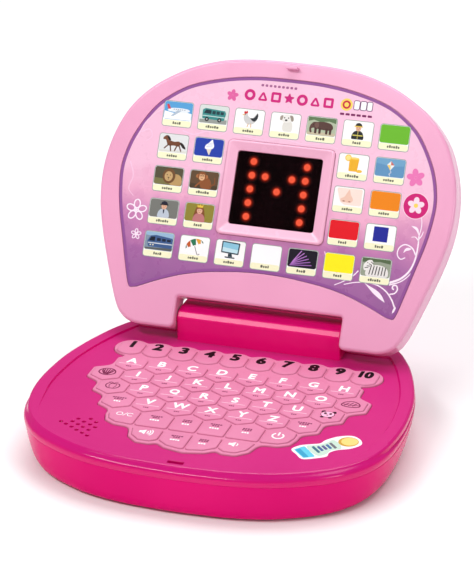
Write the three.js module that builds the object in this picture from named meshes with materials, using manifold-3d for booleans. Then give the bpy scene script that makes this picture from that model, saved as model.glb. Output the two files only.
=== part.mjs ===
// Toy laptop computer: clam-shell base with a silicone keypad, hinged lid with a 5 x 5 lamp display.
// Millimetres, +Z up, -Y towards the child, origin under the middle of the whole object on the surface it stands on.
import * as THREE from "three";
import { mergeVertices } from "three/addons/utils/BufferGeometryUtils.js";
import Module from "manifold-3d";

const wasm = await Module();
wasm.setup();

// ---------------------------------------------------------------- driving dimensions
const BASE_H = 30.5; // standing surface to the plane of the key tops
const Y_SHIFT = 31.58; // puts the middle of the whole object over the origin
const PARTING = -8.4; // joint between bottom case and top deck, below the key tops
const STEP_Z = -4.5; // ledge that runs round the front of the deck
const RIM_TOP = -0.3;
const DECK_Z = -1.6; // recessed deck surface
const DECK_UNDER = -4.1;
const WALL = 2.2;
const HEX_PITCH = 18; // keys across
const ROW_PITCH = 15.75; // key rows
const ROW1_Y = -37;
const KEY_GAP = 0.3; // key to pocket wall, each side
const WEB = 0.6; // silicone web between pockets
const KEY_TOP = 0.25;
const KEY_BOTTOM = -2.6;
const POCKET_FLOOR = -4.2;
const NUM_PITCH = 15.57;
const NUM_Y = -17.2;
const NUM_R = 8.8;
const HINGE_Y = 6.91; // lid axis
const HINGE_Z = 10.72;
const LID_TILT = 29.35; // leans back from upright at rest
const AXIS_S = 17.09; // height of the axis measured up the lid from its datum
const LID_FRONT = -8.52; // front face, measured from the axis, square to the lid
const LID_SPLIT = 4.0; // front shell ends here, back cover starts 0.3 further
const LID_BACK = 7.6;
const FRAME_PROUD = 1.2; // display frame stands this far out of the lid
const NOTCH_HALF = 49.8; // gap in the lid for the hinge block
const BLOCK_HALF = 49.3;
const TRUNNION_R = 2.7;
const BORE_R = 3.0;
const CELL_R = 7.1; // AA cells
const CELL_L = 49.5;
const CASE_SCREWS = [[70, 8], [-70, 8], [50, -130], [-50, -130]];

// ---------------------------------------------------------------- colours
const mat = (color, roughness = 0.4, metalness = 0) => new THREE.MeshStandardMaterial({ color, roughness, metalness });
const MAGENTA = mat(0xe00072, 0.3), DECK_PINK = mat(0xdc2f8c, 0.4), LID_PINK = mat(0xf3abcb, 0.35);
const SILICONE = mat(0xf48cbc, 0.6), SHEET = mat(0xb06cb4, 0.35), BLACK = mat(0x140808, 0.3);
const BOARD = mat(0x2c6b3c, 0.5), STEEL = mat(0xb8b8bc, 0.3, 1), CELL = mat(0x2d8a4e, 0.35), WIRE = mat(0x333333, 0.6);

// ---------------------------------------------------------------- helpers
const root = new THREE.Group();
const base = new THREE.Group();
base.position.set(0, Y_SHIFT, BASE_H);
root.add(base);
const lid = new THREE.Group();
lid.position.set(0, HINGE_Y, HINGE_Z);
lid.rotation.x = -THREE.MathUtils.degToRad(LID_TILT);
base.add(lid);

function solid(geometry) {
  const g = (geometry.index ? geometry.toNonIndexed() : geometry).clone();
  for (const a of Object.keys(g.attributes)) if (a !== "position") g.deleteAttribute(a);
  const m = mergeVertices(g, 1e-4);
  return new wasm.Manifold(new wasm.Mesh({ numProp: 3, vertProperties: new Float32Array(m.attributes.position.array), triVerts: new Uint32Array(m.index.array) }));
}
function geometryOf(s) {
  const m = s.getMesh();
  const p = new Float32Array((m.vertProperties.length / m.numProp) * 3);
  for (let i = 0; i < p.length / 3; i++) for (let k = 0; k < 3; k++) p[i * 3 + k] = m.vertProperties[i * m.numProp + k];
  const g = new THREE.BufferGeometry();
  g.setAttribute("position", new THREE.BufferAttribute(p, 3));
  g.setIndex(new THREE.BufferAttribute(new Uint32Array(m.triVerts), 1));
  g.computeVertexNormals();
  return g;
}
function add(group, name, thing, material) {
  const mesh = new THREE.Mesh(geometryOf(thing.simplify(0.01)), material);
  mesh.name = name;
  group.add(mesh);
  return mesh;
}
const V2 = (x, y) => new THREE.Vector2(x, y);
const shapeOf = (pts) => new THREE.Shape(pts);
// A prism of a closed outline between two heights.
const prism = (pts, z0, z1) => solid(new THREE.ExtrudeGeometry(shapeOf(pts), { depth: z1 - z0, bevelEnabled: false }).translate(0, 0, z0));
// The same with its upper and lower edges broken by b.
const bevelled = (pts, z0, z1, b, seg = 1) =>
  solid(new THREE.ExtrudeGeometry(shapeOf(pts), { depth: z1 - z0 - 2 * b, bevelEnabled: true, bevelThickness: b, bevelSize: b, bevelOffset: -b, bevelSegments: seg }).translate(0, 0, z0 + b));
const block = (x0, x1, y0, y1, z0, z1) => solid(new THREE.BoxGeometry(x1 - x0, y1 - y0, z1 - z0).translate((x0 + x1) / 2, (y0 + y1) / 2, (z0 + z1) / 2));
const rodZ = (x, y, z0, z1, r, n = 16, r1 = r) => solid(new THREE.CylinderGeometry(r1, r, z1 - z0, n).rotateX(Math.PI / 2).translate(x, y, (z0 + z1) / 2));
const rodX = (x0, x1, y, z, r, n = 20) => solid(new THREE.CylinderGeometry(r, r, x1 - x0, n).rotateZ(Math.PI / 2).translate((x0 + x1) / 2, y, z));
const circle = (cx, cy, r, n) => Array.from({ length: n }, (_, i) => V2(cx + r * Math.cos((2 * Math.PI * i) / n), cy + r * Math.sin((2 * Math.PI * i) / n)));
const hex = (cx, cy, flat) => Array.from({ length: 6 }, (_, i) => V2(cx + (flat / Math.sqrt(3)) * Math.cos(Math.PI / 6 + (Math.PI / 3) * i), cy + (flat / Math.sqrt(3)) * Math.sin(Math.PI / 6 + (Math.PI / 3) * i)));
const mirrored = (half) => {
  const right = half.map(([x, y]) => V2(x, y));
  const left = half.filter(([x]) => Math.abs(x) > 1e-6).map(([x, y]) => V2(-x, y)).reverse();
  return right.concat(left);
};
// Moves each corner of a counter-clockwise outline inwards by d (a number, or a function of the outward normal and the corner).
function inset(pts, d) {
  const n = pts.length;
  return pts.map((p, i) => {
    const a = pts[(i + n - 1) % n], b = pts[(i + 1) % n];
    const e1 = V2(p.x - a.x, p.y - a.y).normalize(), e2 = V2(b.x - p.x, b.y - p.y).normalize();
    const n1 = V2(e1.y, -e1.x), n2 = V2(e2.y, -e2.x);
    const m = V2(n1.x + n2.x, n1.y + n2.y).normalize();
    const k = Math.max(0.35, m.dot(n1));
    const dd = typeof d === "function" ? d(m, p) : d;
    return V2(p.x - (m.x * dd) / k, p.y - (m.y * dd) / k);
  });
}
// A closed solid through stacked outlines with the same number of corners: [{pts, z}], lowest first.
function loft(sections) {
  const n = sections[0].pts.length, pos = [], idx = [];
  for (const s of sections) for (const p of s.pts) pos.push(p.x, p.y, s.z);
  for (let k = 0; k + 1 < sections.length; k++)
    for (let i = 0; i < n; i++) {
      const j = (i + 1) % n, a = k * n + i, b = k * n + j, c = (k + 1) * n + j, d = (k + 1) * n + i;
      idx.push(a, b, c, a, c, d);
    }
  const cap = (s, off, up) => {
    for (const [a, b, c] of THREE.ShapeUtils.triangulateShape(s.pts, [])) {
      const area = (s.pts[b].x - s.pts[a].x) * (s.pts[c].y - s.pts[a].y) - (s.pts[c].x - s.pts[a].x) * (s.pts[b].y - s.pts[a].y);
      const ccw = area > 0;
      if (ccw === up) idx.push(off + a, off + b, off + c);
      else idx.push(off + a, off + c, off + b);
    }
  };
  cap(sections[0], 0, false);
  cap(sections.at(-1), (sections.length - 1) * n, true);
  const g = new THREE.BufferGeometry();
  g.setAttribute("position", new THREE.Float32BufferAttribute(pos, 3));
  g.setIndex(idx);
  return solid(g);
}

// ---------------------------------------------------------------- outlines
// Upper edge of the base, right half from the front middle round to the back middle.
const BASE_HALF = [[0, -148.8], [15, -148.3], [30, -147.2], [42, -145.2], [55, -141.8], [68, -136.2], [78, -130.5], [86.5, -124], [94, -115.5], [99.5, -106.5], [103.5, -96], [106, -84], [107, -70], [106.3, -54], [104, -36], [100, -20], [96, -8], [91, 4.5], [86, 14], [81, 22], [75, 28], [66, 31.4], [50, 32.6], [25, 33], [0, 33]];
const basePath = new THREE.CatmullRomCurve3(mirrored(BASE_HALF).map((p) => new THREE.Vector3(p.x, p.y, 0)), true, "centripetal");
const EDGE = basePath.getSpacedPoints(52).slice(0, 52).map((p) => V2(p.x, p.y)); // counter-clockwise
// The lower wall stands out past the upper edge at the front and tucks in underneath, more at the sides than in front.
const front = (m) => Math.max(0, -m.y) ** 2;
const ledge = (p) => 0.3 + 2.9 * THREE.MathUtils.smoothstep(-p.y, 62, 125);
const wall = (side, ahead) => inset(EDGE, (m, p) => side + (ahead - side) * front(m) - ledge(p));

// Keys: hexagons in rows, then the odd-shaped ones near the front.
const rowY = (r) => ROW1_Y - ROW_PITCH * (r - 1);
const LETTERS = [];
[..."ABCDEFGH"].forEach((c, i) => LETTERS.push([c, -63 + HEX_PITCH * i, rowY(1)]));
[..."IJKLMNO"].forEach((c, i) => LETTERS.push([c, -54 + HEX_PITCH * i, rowY(2)]));
[..."PQRSTU"].forEach((c, i) => LETTERS.push([c, -45 + HEX_PITCH * i, rowY(3)]));
[..."VWXYZ"].forEach((c, i) => LETTERS.push([c, -36 + HEX_PITCH * i, rowY(4)]));
const PICTURES = [[-72, rowY(2)], [72, rowY(2)], [-63, rowY(3)], [63, rowY(3)], [-54, rowY(4)], [54, rowY(4)]];
const half5 = 8.2, y5 = rowY(5), y6 = rowY(6);
// Row 5: flat-bottomed cells; row 6: flat-topped cells with round front ends. Outlines are counter-clockwise.
const cell5 = (x0, x1) => [V2(x0, y5 - 11), V2(x1, y5 - 11), V2(x1, y5 + 5.2), V2((x0 + x1) / 2, y5 + 9.6), V2(x0, y5 + 5.2)];
const cell5in = (x0, x1, xm) => [V2(x0, y5 - 11), V2(x1, y5 - 11), V2(x1, y5 + 5.2), V2(xm, y5 + 9.6), V2(x0, y5 + 5.2)];
const POWER = [V2(36, -111), V2(47, -110.2), V2(52, -107), V2(54, -101), V2(54, -94.8), V2(45, -90.4), V2(36, -94.8)];
const MENU = POWER.map((p) => V2(-p.x, p.y)).reverse();
const VOL_DOWN = [V2(17, -112), V2(17, -124), V2(21, -127.2), V2(28, -127), V2(33.4, -122), V2(36, -112)];
const VOL_UP = VOL_DOWN.map((p) => V2(-p.x, p.y)).reverse();
const MODES = [
  [V2(-36, -111), V2(-16.4, -111), V2(-16.4, -95), V2(-27, -90.4), V2(-36, -94.8)],
  [V2(-16.4, -111), V2(0, -111), V2(0, -94.8), V2(-9, -90.4), V2(-16.4, -94.2)],
  [V2(0, -111), V2(16.4, -111), V2(16.4, -94.2), V2(9, -90.4), V2(0, -94.8)],
  [V2(16.4, -111), V2(36, -111), V2(36, -94.8), V2(27, -90.4), V2(16.4, -95)],
  [V2(-17, -112), V2(-17, -124), V2(-11, -129), V2(-4, -130.6), V2(0, -130.8), V2(0, -112)],
  [V2(0, -112), V2(0, -130.8), V2(4, -130.6), V2(11, -129), V2(17, -124), V2(17, -112)],
];
const numberX = (i) => -4.5 * NUM_PITCH + NUM_PITCH * i;
const numberCell = (i, grow = 0) => {
  const x = numberX(i), r = NUM_R + grow, h = NUM_PITCH / 2 - WEB / 2 - KEY_GAP + grow, a = Math.acos(Math.min(1, h / r)), pts = [];
  for (let k = 0; k <= 4; k++) pts.push(V2(x + r * Math.cos(a + ((Math.PI - 2 * a) * k) / 4), NUM_Y + r * Math.sin(a + ((Math.PI - 2 * a) * k) / 4)));
  for (let k = 0; k <= 4; k++) pts.push(V2(x + r * Math.cos(Math.PI + a + ((Math.PI - 2 * a) * k) / 4), NUM_Y + r * Math.sin(Math.PI + a + ((Math.PI - 2 * a) * k) / 4)));
  return pts;
};
const ccw = (pts) => (THREE.ShapeUtils.area(pts) < 0 ? pts.slice().reverse() : pts);

// Outline of the silicone field: every cell grown by a lip, as one solid between two heights.
function field(z0, z1, grow) {
  const parts = [];
  for (let i = 0; i < 10; i++) parts.push(prism(circle(numberX(i), -16.4, 10.5 + grow, 12), z0, z1));
  for (const [, x, y] of LETTERS) parts.push(prism(hex(x, y, HEX_PITCH + 3.4 + 2 * grow), z0, z1));
  for (const [x, y] of PICTURES) parts.push(prism(hex(x, y, HEX_PITCH + 3.4 + 2 * grow), z0, z1));
  for (const c of [POWER, MENU, VOL_DOWN, VOL_UP, ...MODES]) parts.push(prism(inset(ccw(c), -1.8 - grow), z0, z1));
  parts.push(block(-70, 70, -30, -12, z0, z1));
  return wasm.Manifold.union(parts).simplify(0.05);
}

// ---------------------------------------------------------------- bottom case
{
  let s = loft([
    { pts: wall(12.5, 8), z: -30.5 },
    { pts: wall(9.6, 4.2), z: -29.7 },
    { pts: wall(7.2, 2), z: -28 },
    { pts: wall(4.6, 1.1), z: -24 },
    { pts: wall(2.6, 0.8), z: -18 },
    { pts: wall(0.6, 0.4), z: PARTING - 0.15 },
  ]);
  s = s.subtract(loft([
    { pts: wall(12.2, 7.4), z: -28.3 },
    { pts: wall(7.6, 3.6), z: -25 },
    { pts: wall(5, 3), z: -18 },
    { pts: wall(2.9, 2.7), z: PARTING + 2 },
  ]));
  // battery bay: frame on the floor, walls and roof above it, open underneath
  s = s.add(block(-37, 37, -88, -23, -28.6, -26.2)).add(block(-31.3, 31.3, -81, -31, -28.6, -11.6));
  s = s.subtract(block(-29.6, 29.6, -79.2, -32.8, -32, -13.2));
  s = s.subtract(block(-34.3, 34.3, -84.3, -27.7, -32, -28.1));
  for (const x of [-20, 20]) s = s.subtract(block(x - 4.6, x + 4.6, -28, -24.6, -32, -27.3));
  s = s.subtract(rodZ(0, -81.6, -29, -25.5, 1.5, 12));
  // case screws: counterbored holes
  for (const [x, y] of CASE_SCREWS) s = s.subtract(rodZ(x, y, -32, -29.2, 3.3, 14)).subtract(rodZ(x, y, -32, -25, 1.7, 12));
  add(base, "base_bottom_case", s, MAGENTA);
}

// ---------------------------------------------------------------- top deck with the hinge block
{
  let s = loft([
    { pts: wall(0.6, 0.4), z: PARTING + 0.15 },
    { pts: wall(0.2, 0.1), z: STEP_Z - 0.8 },
    { pts: wall(0.9, 0.7), z: STEP_Z },
    { pts: inset(EDGE, 0.5), z: STEP_Z + 0.3 },
    { pts: inset(EDGE, 0.2), z: -1.5 },
    { pts: inset(EDGE, 1.0), z: -0.6 },
    { pts: inset(EDGE, 2.2), z: RIM_TOP },
  ]);
  s = s.subtract(loft([{ pts: wall(4.2, 4), z: PARTING - 1 }, { pts: inset(EDGE, 3.6), z: DECK_UNDER }]));
  // recessed deck, which meets the rim again along the front
  const RECESS = ccw(inset(EDGE, (m, p) => 8.5 - 1.5 * front(m)).map((p) => V2(p.x, Math.min(p.y, 14))));
  s = s.subtract(prism(RECESS, DECK_Z, 3));
  // hinge block across the back
  const section = [[3.2, -3.5], [3.2, 12.2]];
  for (let k = 1; k <= 4; k++) section.push([3.2 + 3.6 * (1 - Math.cos((k * Math.PI) / 8)), 12.2 + 3.6 * Math.sin((k * Math.PI) / 8)]);
  section.push([14, 16], [23, 16], [26.5, 15.3], [29.3, 13.2], [31.2, 10], [32.2, 5], [32.4, -3.5]);
  const blockShape = section.map(([y, z]) => V2(y, z)).reverse();
  const alongX = (pts, x0, x1) => solid(new THREE.ExtrudeGeometry(shapeOf(ccw(pts)), { depth: x1 - x0, bevelEnabled: false }).applyMatrix4(new THREE.Matrix4().makeBasis(new THREE.Vector3(0, 1, 0), new THREE.Vector3(0, 0, 1), new THREE.Vector3(1, 0, 0))).translate(x0, 0, 0));
  s = s.add(alongX(blockShape, -BLOCK_HALF, BLOCK_HALF));
  const hollow = [[4.8, -9], [4.8, 12], [7, 14.2], [23, 14.2], [26, 13.4], [28, 11.6], [29.6, 8.6], [30, 3.8], [28.8, -9]].map(([y, z]) => V2(y, z));
  s = s.subtract(alongX(hollow, -BLOCK_HALF + 3, BLOCK_HALF - 3));
  s = s.add(rodX(-57, -BLOCK_HALF + 1, HINGE_Y, HINGE_Z, TRUNNION_R)).add(rodX(BLOCK_HALF - 1, 57, HINGE_Y, HINGE_Z, TRUNNION_R));
  s = s.subtract(rodX(-60, -40, HINGE_Y, HINGE_Z, 1.7, 12)).subtract(rodX(40, 60, HINGE_Y, HINGE_Z, 1.7, 12));
  // keypad opening, loudspeaker holes, latch slot
  s = s.subtract(field(-6, 3, 0.35));
  const HOLES = [[-76.3, -115.7], [-72.6, -117.8], [-70.2, -113.9], [-68.2, -110], [-66.1, -116.4], [-68.4, -120.3], [-64, -112.6], [-61.5, -108.2], [-57.4, -111.2], [-59.6, -114.7], [-62.3, -118.7], [-64.5, -123], [-55.8, -117.1], [-58.1, -121.2], [-60.3, -125.5], [-56.5, -127.9]];
  for (const [x, y] of HOLES) s = s.subtract(rodZ(x, y, -6, 2, 1.1, 6));
  s = s.subtract(block(-4.5, 4.5, -145.6, -142.4, -6, 2));
  // screw bosses under the deck
  for (const [x, y] of CASE_SCREWS) s = s.add(rodZ(x, y, -27.9, DECK_UNDER + 0.5, 3.4, 14)).subtract(rodZ(x, y, -29, -14, 1.55, 10));
  add(base, "base_top_deck", s, MAGENTA);
}
for (const [i, [x, y]] of CASE_SCREWS.entries())
  add(base, "base_screw_" + (i + 1), rodZ(x, y, -30.1, -28.9 - 0.6, 2.9, 14).add(rodZ(x, y, -29.8, -16, 1.25, 10)), STEEL);

// ---------------------------------------------------------------- keypad: silicone mat with pockets, and the key islands in them
{
  const FLANGE = ccw(mirrored([[0, -136.5], [20, -134], [38, -128], [42, -117], [58, -111], [61, -98], [70, -91], [80, -72], [88, -58], [88, -44], [80, -34], [85, -16], [78, -2], [0, -2]]));
  let s = prism(FLANGE, -6.2, -4.45).subtract(rodZ(-64.2, -117.4, -7, -4, 15, 16)).add(field(-5, -0.6, 0));
  const pockets = [];
  for (const [, x, y] of LETTERS) pockets.push(prism(hex(x, y, HEX_PITCH - WEB), POCKET_FLOOR, 2));
  for (let i = 0; i < 10; i++) pockets.push(prism(ccw(numberCell(i, KEY_GAP)), POCKET_FLOOR, 2));
  for (const c of [POWER, VOL_DOWN, VOL_UP]) pockets.push(prism(inset(ccw(c), WEB / 2), POCKET_FLOOR, 2));
  s = s.subtract(wasm.Manifold.union(pockets));
  // picture and mode keys that stay part of the mat
  for (const [x, y] of PICTURES) s = s.add(prism(hex(x, y, HEX_PITCH - 1.1), -1.6, KEY_TOP));
  for (const c of [MENU, ...MODES]) s = s.add(prism(inset(ccw(c), 0.55), -1.6, KEY_TOP));
  add(base, "keypad_mat", s, SILICONE);
  for (const [c, x, y] of LETTERS) add(base, "key_" + c, prism(hex(x, y, HEX_PITCH - WEB - 2 * KEY_GAP), KEY_BOTTOM, KEY_TOP), SILICONE);
  for (let i = 0; i < 10; i++) add(base, "key_" + (i + 1), prism(ccw(numberCell(i)), KEY_BOTTOM, KEY_TOP), SILICONE);
  const n = WEB / 2 + KEY_GAP;
  add(base, "key_power", prism(inset(ccw(POWER), n), KEY_BOTTOM, KEY_TOP), SILICONE);
  add(base, "key_volume_up", prism(inset(ccw(VOL_UP), n), KEY_BOTTOM, KEY_TOP), SILICONE);
  add(base, "key_volume_down", prism(inset(ccw(VOL_DOWN), n), KEY_BOTTOM, KEY_TOP), SILICONE);
}

// ---------------------------------------------------------------- inside the base
{
  const outline = [V2(-34, -126), V2(34, -126), V2(50, -104), V2(74, -98), V2(76, -14), V2(70, -6), V2(-70, -6), V2(-76, -14), V2(-74, -98), V2(-50, -98), V2(-50, -104)];
  let s = prism(ccw(outline), -8.2, -6.6);
  s = s.add(rodZ(20, -95, -10.6, -8, 8, 16)).add(block(-30, -18, -100, -88, -10.2, -8)).add(block(24, 36, -16, -10, -8.3, -8)).add(rodZ(52, -60, -10.9, -8, 3, 12));
  add(base, "main_board", s, BOARD);
  const sp = [[0, -15], [8.5, -15], [9, -14.5], [9, -10.6], [10.5, -9.8], [13.6, -6.9], [14.2, -6.4], [14.2, -4.6], [12.6, -4.6], [8, -6.2], [3.4, -7], [0, -5.4]].map(([r, z]) => V2(r, z));
  add(base, "speaker", solid(new THREE.LatheGeometry(sp, 14).rotateX(Math.PI / 2).translate(-64.2, -117.4, 0)), BLACK);
  for (let i = 0; i < 3; i++) {
    const y = -41.3 - 14.7 * i;
    const side = i % 2 ? -1 : 1;
    const can = [[0, -CELL_L / 2 + 0.6], [4.5, -CELL_L / 2 + 0.6], [5, -CELL_L / 2], [6.6, -CELL_L / 2], [CELL_R, -CELL_L / 2 + 0.5], [CELL_R, CELL_L / 2 - 1.2], [6.4, CELL_L / 2 - 0.6], [2.75, CELL_L / 2 - 0.6], [2.75, CELL_L / 2 + 0.6], [0, CELL_L / 2 + 0.6]].map(([r, z]) => V2(r, z));
    add(base, "battery_cell_" + (i + 1), solid(new THREE.LatheGeometry(can, 12).rotateZ((-Math.PI / 2) * side).translate(0, y, -20.6)), CELL);
  }
  let d = bevelled([V2(-34, -84), V2(34, -84), V2(34, -28), V2(-34, -28)], -30.2, -28.4, 0.3);
  for (const x of [-20, 20]) d = d.add(block(x - 4, x + 4, -28.6, -25.6, -29.4, -28.4));
  d = d.subtract(rodZ(0, -81.6, -31, -28, 1.5, 12)).subtract(rodZ(0, -81.6, -31, -29.3, 2.7, 12));
  add(base, "battery_door", d, MAGENTA);
  add(base, "battery_door_screw", rodZ(0, -81.6, -30.1, -29.6, 2.4, 12).add(rodZ(0, -81.6, -29.8, -26.6, 1.1, 10)), STEEL);
  const run = new THREE.CatmullRomCurve3([[43.6, 6.91, 10.72], [38, 6.91, 10.6], [34, 8, 7], [33, 8.5, 0], [32, 6, -7.5], [30.5, 0, -10.6], [30, -9, -9.7]].map((p) => new THREE.Vector3(...p)));
  add(base, "display_cable_base_run", solid(new THREE.ExtrudeGeometry(shapeOf(circle(0, 0, 1.1, 8)), { steps: 12, extrudePath: run })), WIRE);
}

// ---------------------------------------------------------------- lid
const LID_HALF = [[0, 172], [15, 171.8], [30, 170.8], [42, 169], [54, 165.6], [64, 161.6], [74, 156], [83, 149.6], [91, 141.6], [97, 133], [101.8, 122], [104.6, 112], [106.2, 101], [106.4, 91], [105.4, 80], [103.4, 70], [100.6, 60], [97.4, 50], [94, 40], [90.4, 30], [87.4, 22.5], [84, 16.5], [79.5, 12.6], [74, 10.6], [66, 10.3], [52, 10.3], [NOTCH_HALF, 12], [NOTCH_HALF, 27.5], [48.3, 29], [24, 29], [0, 29]];
const LID = ccw(mirrored(LID_HALF.map(([x, s]) => [x, s - AXIS_S])));
const sheetCurve = new THREE.CatmullRomCurve3([[40, 158], [60, 152], [72, 144.6], [80, 137], [90, 120], [94, 107], [95, 98], [94, 86], [92, 75], [88, 60], [84, 45], [80.8, 34], [79.4, 31]].map(([x, s]) => new THREE.Vector3(x, s, 0)));
const SHEET_HALF = [[0, 161.5], [20, 160.9], ...sheetCurve.getPoints(16).map((p) => [p.x, p.y]), [77, 31], [64, 36.6], [50, 41.6], [36, 44.8], [25, 46.3], [12, 47.6], [0, 48]];
const SHEET_OUT = ccw(mirrored(SHEET_HALF.map(([x, s]) => [x, s - AXIS_S])));
const rect = (hx, s0, s1) => [V2(-hx, s0 - AXIS_S), V2(hx, s0 - AXIS_S), V2(hx, s1 - AXIS_S), V2(-hx, s1 - AXIS_S)];
// Outlines are drawn in (x, up the lid) and thickened along the lid's own depth axis (front is negative).
const stand = new THREE.Matrix4().makeBasis(new THREE.Vector3(1, 0, 0), new THREE.Vector3(0, 0, 1), new THREE.Vector3(0, -1, 0));
const slab = (pts, d0, d1) => solid(new THREE.ExtrudeGeometry(shapeOf(pts), { depth: d1 - d0, bevelEnabled: false }).translate(0, 0, -d1).applyMatrix4(stand));
const softSlab = (pts, d0, d1, b, seg) => solid(new THREE.ExtrudeGeometry(shapeOf(pts), { depth: d1 - d0 - 2 * b, bevelEnabled: true, bevelThickness: b, bevelSize: b, bevelOffset: -b, bevelSegments: seg }).translate(0, 0, -d1 + b).applyMatrix4(stand));
{
  let s = softSlab(LID, LID_FRONT, LID_SPLIT + 4, 1.8, 2).subtract(block(-130, 130, LID_SPLIT, 20, -40, 200));
  s = s.subtract(slab(inset(LID, WALL), LID_FRONT + WALL, 20));
  s = s.subtract(slab(inset(SHEET_OUT, -0.3), -20, -7.5).subtract(slab(rect(32.3, 68, 123.5), -20, 0)));
  s = s.add(softSlab(rect(32.3, 68, 123.5), LID_FRONT - FRAME_PROUD, LID_FRONT + 2.6, 1.0, 1));
  s = s.subtract(slab(rect(25.65, 96.02 - 21.55, 96.02 + 21.55), -20, 0));
  s = s.add(slab(rect(3.5, 167.2, 168.8), LID_FRONT - 4.4, LID_FRONT + 1));
  s = s.subtract(rodX(-54, -46, 0, 0, BORE_R)).subtract(rodX(46, 54, 0, 0, BORE_R));
  add(lid, "lid_front_bezel", s, LID_PINK);

  let b = softSlab(LID, LID_SPLIT - 3, LID_BACK, 1.8, 2).subtract(block(-130, 130, -20, LID_SPLIT + 0.3, -40, 200));
  const PANEL = ccw(mirrored([[0, 163], [30, 161], [55, 154], [75, 143], [88, 129], [94.6, 112], [96, 96], [94.6, 82], [91, 66], [86, 50], [83, 44], [76, 42], [40, 41], [0, 41]].map(([x, s]) => [x, s - AXIS_S])));
  b = b.add(softSlab(PANEL, LID_BACK - 1.4, LID_BACK + 1.8, 1.2, 1));
  b = b.subtract(slab(inset(LID, WALL), -20, LID_BACK - 2));
  add(lid, "lid_back_cover", b, LID_PINK);

  add(lid, "graphic_sheet", slab(SHEET_OUT, -8.3, -7.8).subtract(slab(rect(32.6, 67.7, 123.8), -20, 0)), SHEET);
  add(lid, "display_window", slab(rect(25.35, 96.02 - 21.25, 96.02 + 21.25), -8.4, -7.4), BLACK);
  let m = slab(rect(28, 72, 120), -5.9, -2.5);
  for (let i = 0; i < 5; i++) for (let j = 0; j < 5; j++) m = m.add(solid(new THREE.CylinderGeometry(2.4, 2.4, 1.6, 6).translate(-16.12 + 8.06 * i, -6.3, 112.14 - 8.06 * j - AXIS_S)));
  add(lid, "led_matrix", m, BLACK);
  const run = new THREE.CatmullRomCurve3([[24, -1, 54], [30, -1, 42], [44, -1, 29], [56, -0.6, 19], [60.5, -0.2, 9], [60, 0, 2.6], [56.5, 0, 0], [51, 0, 0], [44.2, 0, 0]].map((p) => new THREE.Vector3(...p)));
  add(lid, "display_cable", solid(new THREE.ExtrudeGeometry(shapeOf(circle(0, 0, 1.1, 8)), { steps: 18, extrudePath: run })), WIRE);
}

export default root;
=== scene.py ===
import math

import bpy
import bmesh
import numpy as np
from mathutils import Matrix, Vector
from mathutils.geometry import tessellate_polygon


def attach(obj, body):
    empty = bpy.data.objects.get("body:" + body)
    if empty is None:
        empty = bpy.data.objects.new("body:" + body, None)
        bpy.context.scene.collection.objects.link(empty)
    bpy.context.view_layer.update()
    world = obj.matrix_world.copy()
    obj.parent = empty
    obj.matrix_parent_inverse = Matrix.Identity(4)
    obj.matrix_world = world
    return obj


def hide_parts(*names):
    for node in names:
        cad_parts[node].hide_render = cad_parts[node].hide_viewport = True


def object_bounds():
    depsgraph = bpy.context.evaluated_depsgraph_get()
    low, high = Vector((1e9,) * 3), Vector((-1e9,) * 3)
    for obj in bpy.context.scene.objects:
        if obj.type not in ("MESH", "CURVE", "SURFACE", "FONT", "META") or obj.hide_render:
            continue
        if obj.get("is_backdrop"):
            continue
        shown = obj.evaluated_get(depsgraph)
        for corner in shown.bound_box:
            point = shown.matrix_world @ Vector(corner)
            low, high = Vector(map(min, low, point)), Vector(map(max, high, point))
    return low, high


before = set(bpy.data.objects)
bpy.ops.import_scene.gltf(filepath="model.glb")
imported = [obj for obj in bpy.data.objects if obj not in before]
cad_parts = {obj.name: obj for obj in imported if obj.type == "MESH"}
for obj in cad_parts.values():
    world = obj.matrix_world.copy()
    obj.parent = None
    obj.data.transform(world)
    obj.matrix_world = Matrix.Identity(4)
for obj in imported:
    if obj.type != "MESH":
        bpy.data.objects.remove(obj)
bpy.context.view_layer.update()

# ------------------------------------------------------------------ frame and constants (millimetres, z = 0 at the key tops)
Y_SHIFT, BASE_H = 31.58, 30.5
HINGE_Y, HINGE_Z, TILT, AXIS_S = 6.91, 10.72, math.radians(29.35), 17.09
PARTING, STEP_Z, RIM_TOP, DECK_Z, DECK_UNDER = -8.4, -4.5, -0.3, -1.6, -4.1
CT, ST = math.cos(TILT), math.sin(TILT)
SCENE = bpy.context.scene


def base_pt(p):
    p = np.asarray(p, float)
    return np.stack([p[..., 0], p[..., 1] + Y_SHIFT, p[..., 2] + BASE_H], -1) / 1000


def lid_pt(p):
    """(x, s up the lid, depth out of the lid's front) to the frame, in metres."""
    p = np.asarray(p, float)
    ly, lz = -p[..., 2], p[..., 1] - AXIS_S
    y = HINGE_Y + lz * ST + ly * CT
    z = HINGE_Z + lz * CT - ly * ST
    return np.stack([p[..., 0], y + Y_SHIFT, z + BASE_H], -1) / 1000


def srgb(r, g, b):
    return tuple((c / 255 / 12.92) if c / 255 <= 0.04045 else ((c / 255 + 0.055) / 1.055) ** 2.4 for c in (r, g, b))


# ------------------------------------------------------------------ outlines
def resample(pts, n=None, step=None, closed=True):
    p = np.asarray(pts, float)
    q = np.vstack([p, p[:1]]) if closed else p
    d = np.concatenate([[0], np.cumsum(np.linalg.norm(np.diff(q, axis=0), axis=1))])
    if n is None:
        n = max(3, int(round(d[-1] / step)))
    t = np.linspace(0, d[-1], n, endpoint=not closed)
    return np.stack([np.interp(t, d, q[:, k]) for k in range(q.shape[1])], 1)


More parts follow.
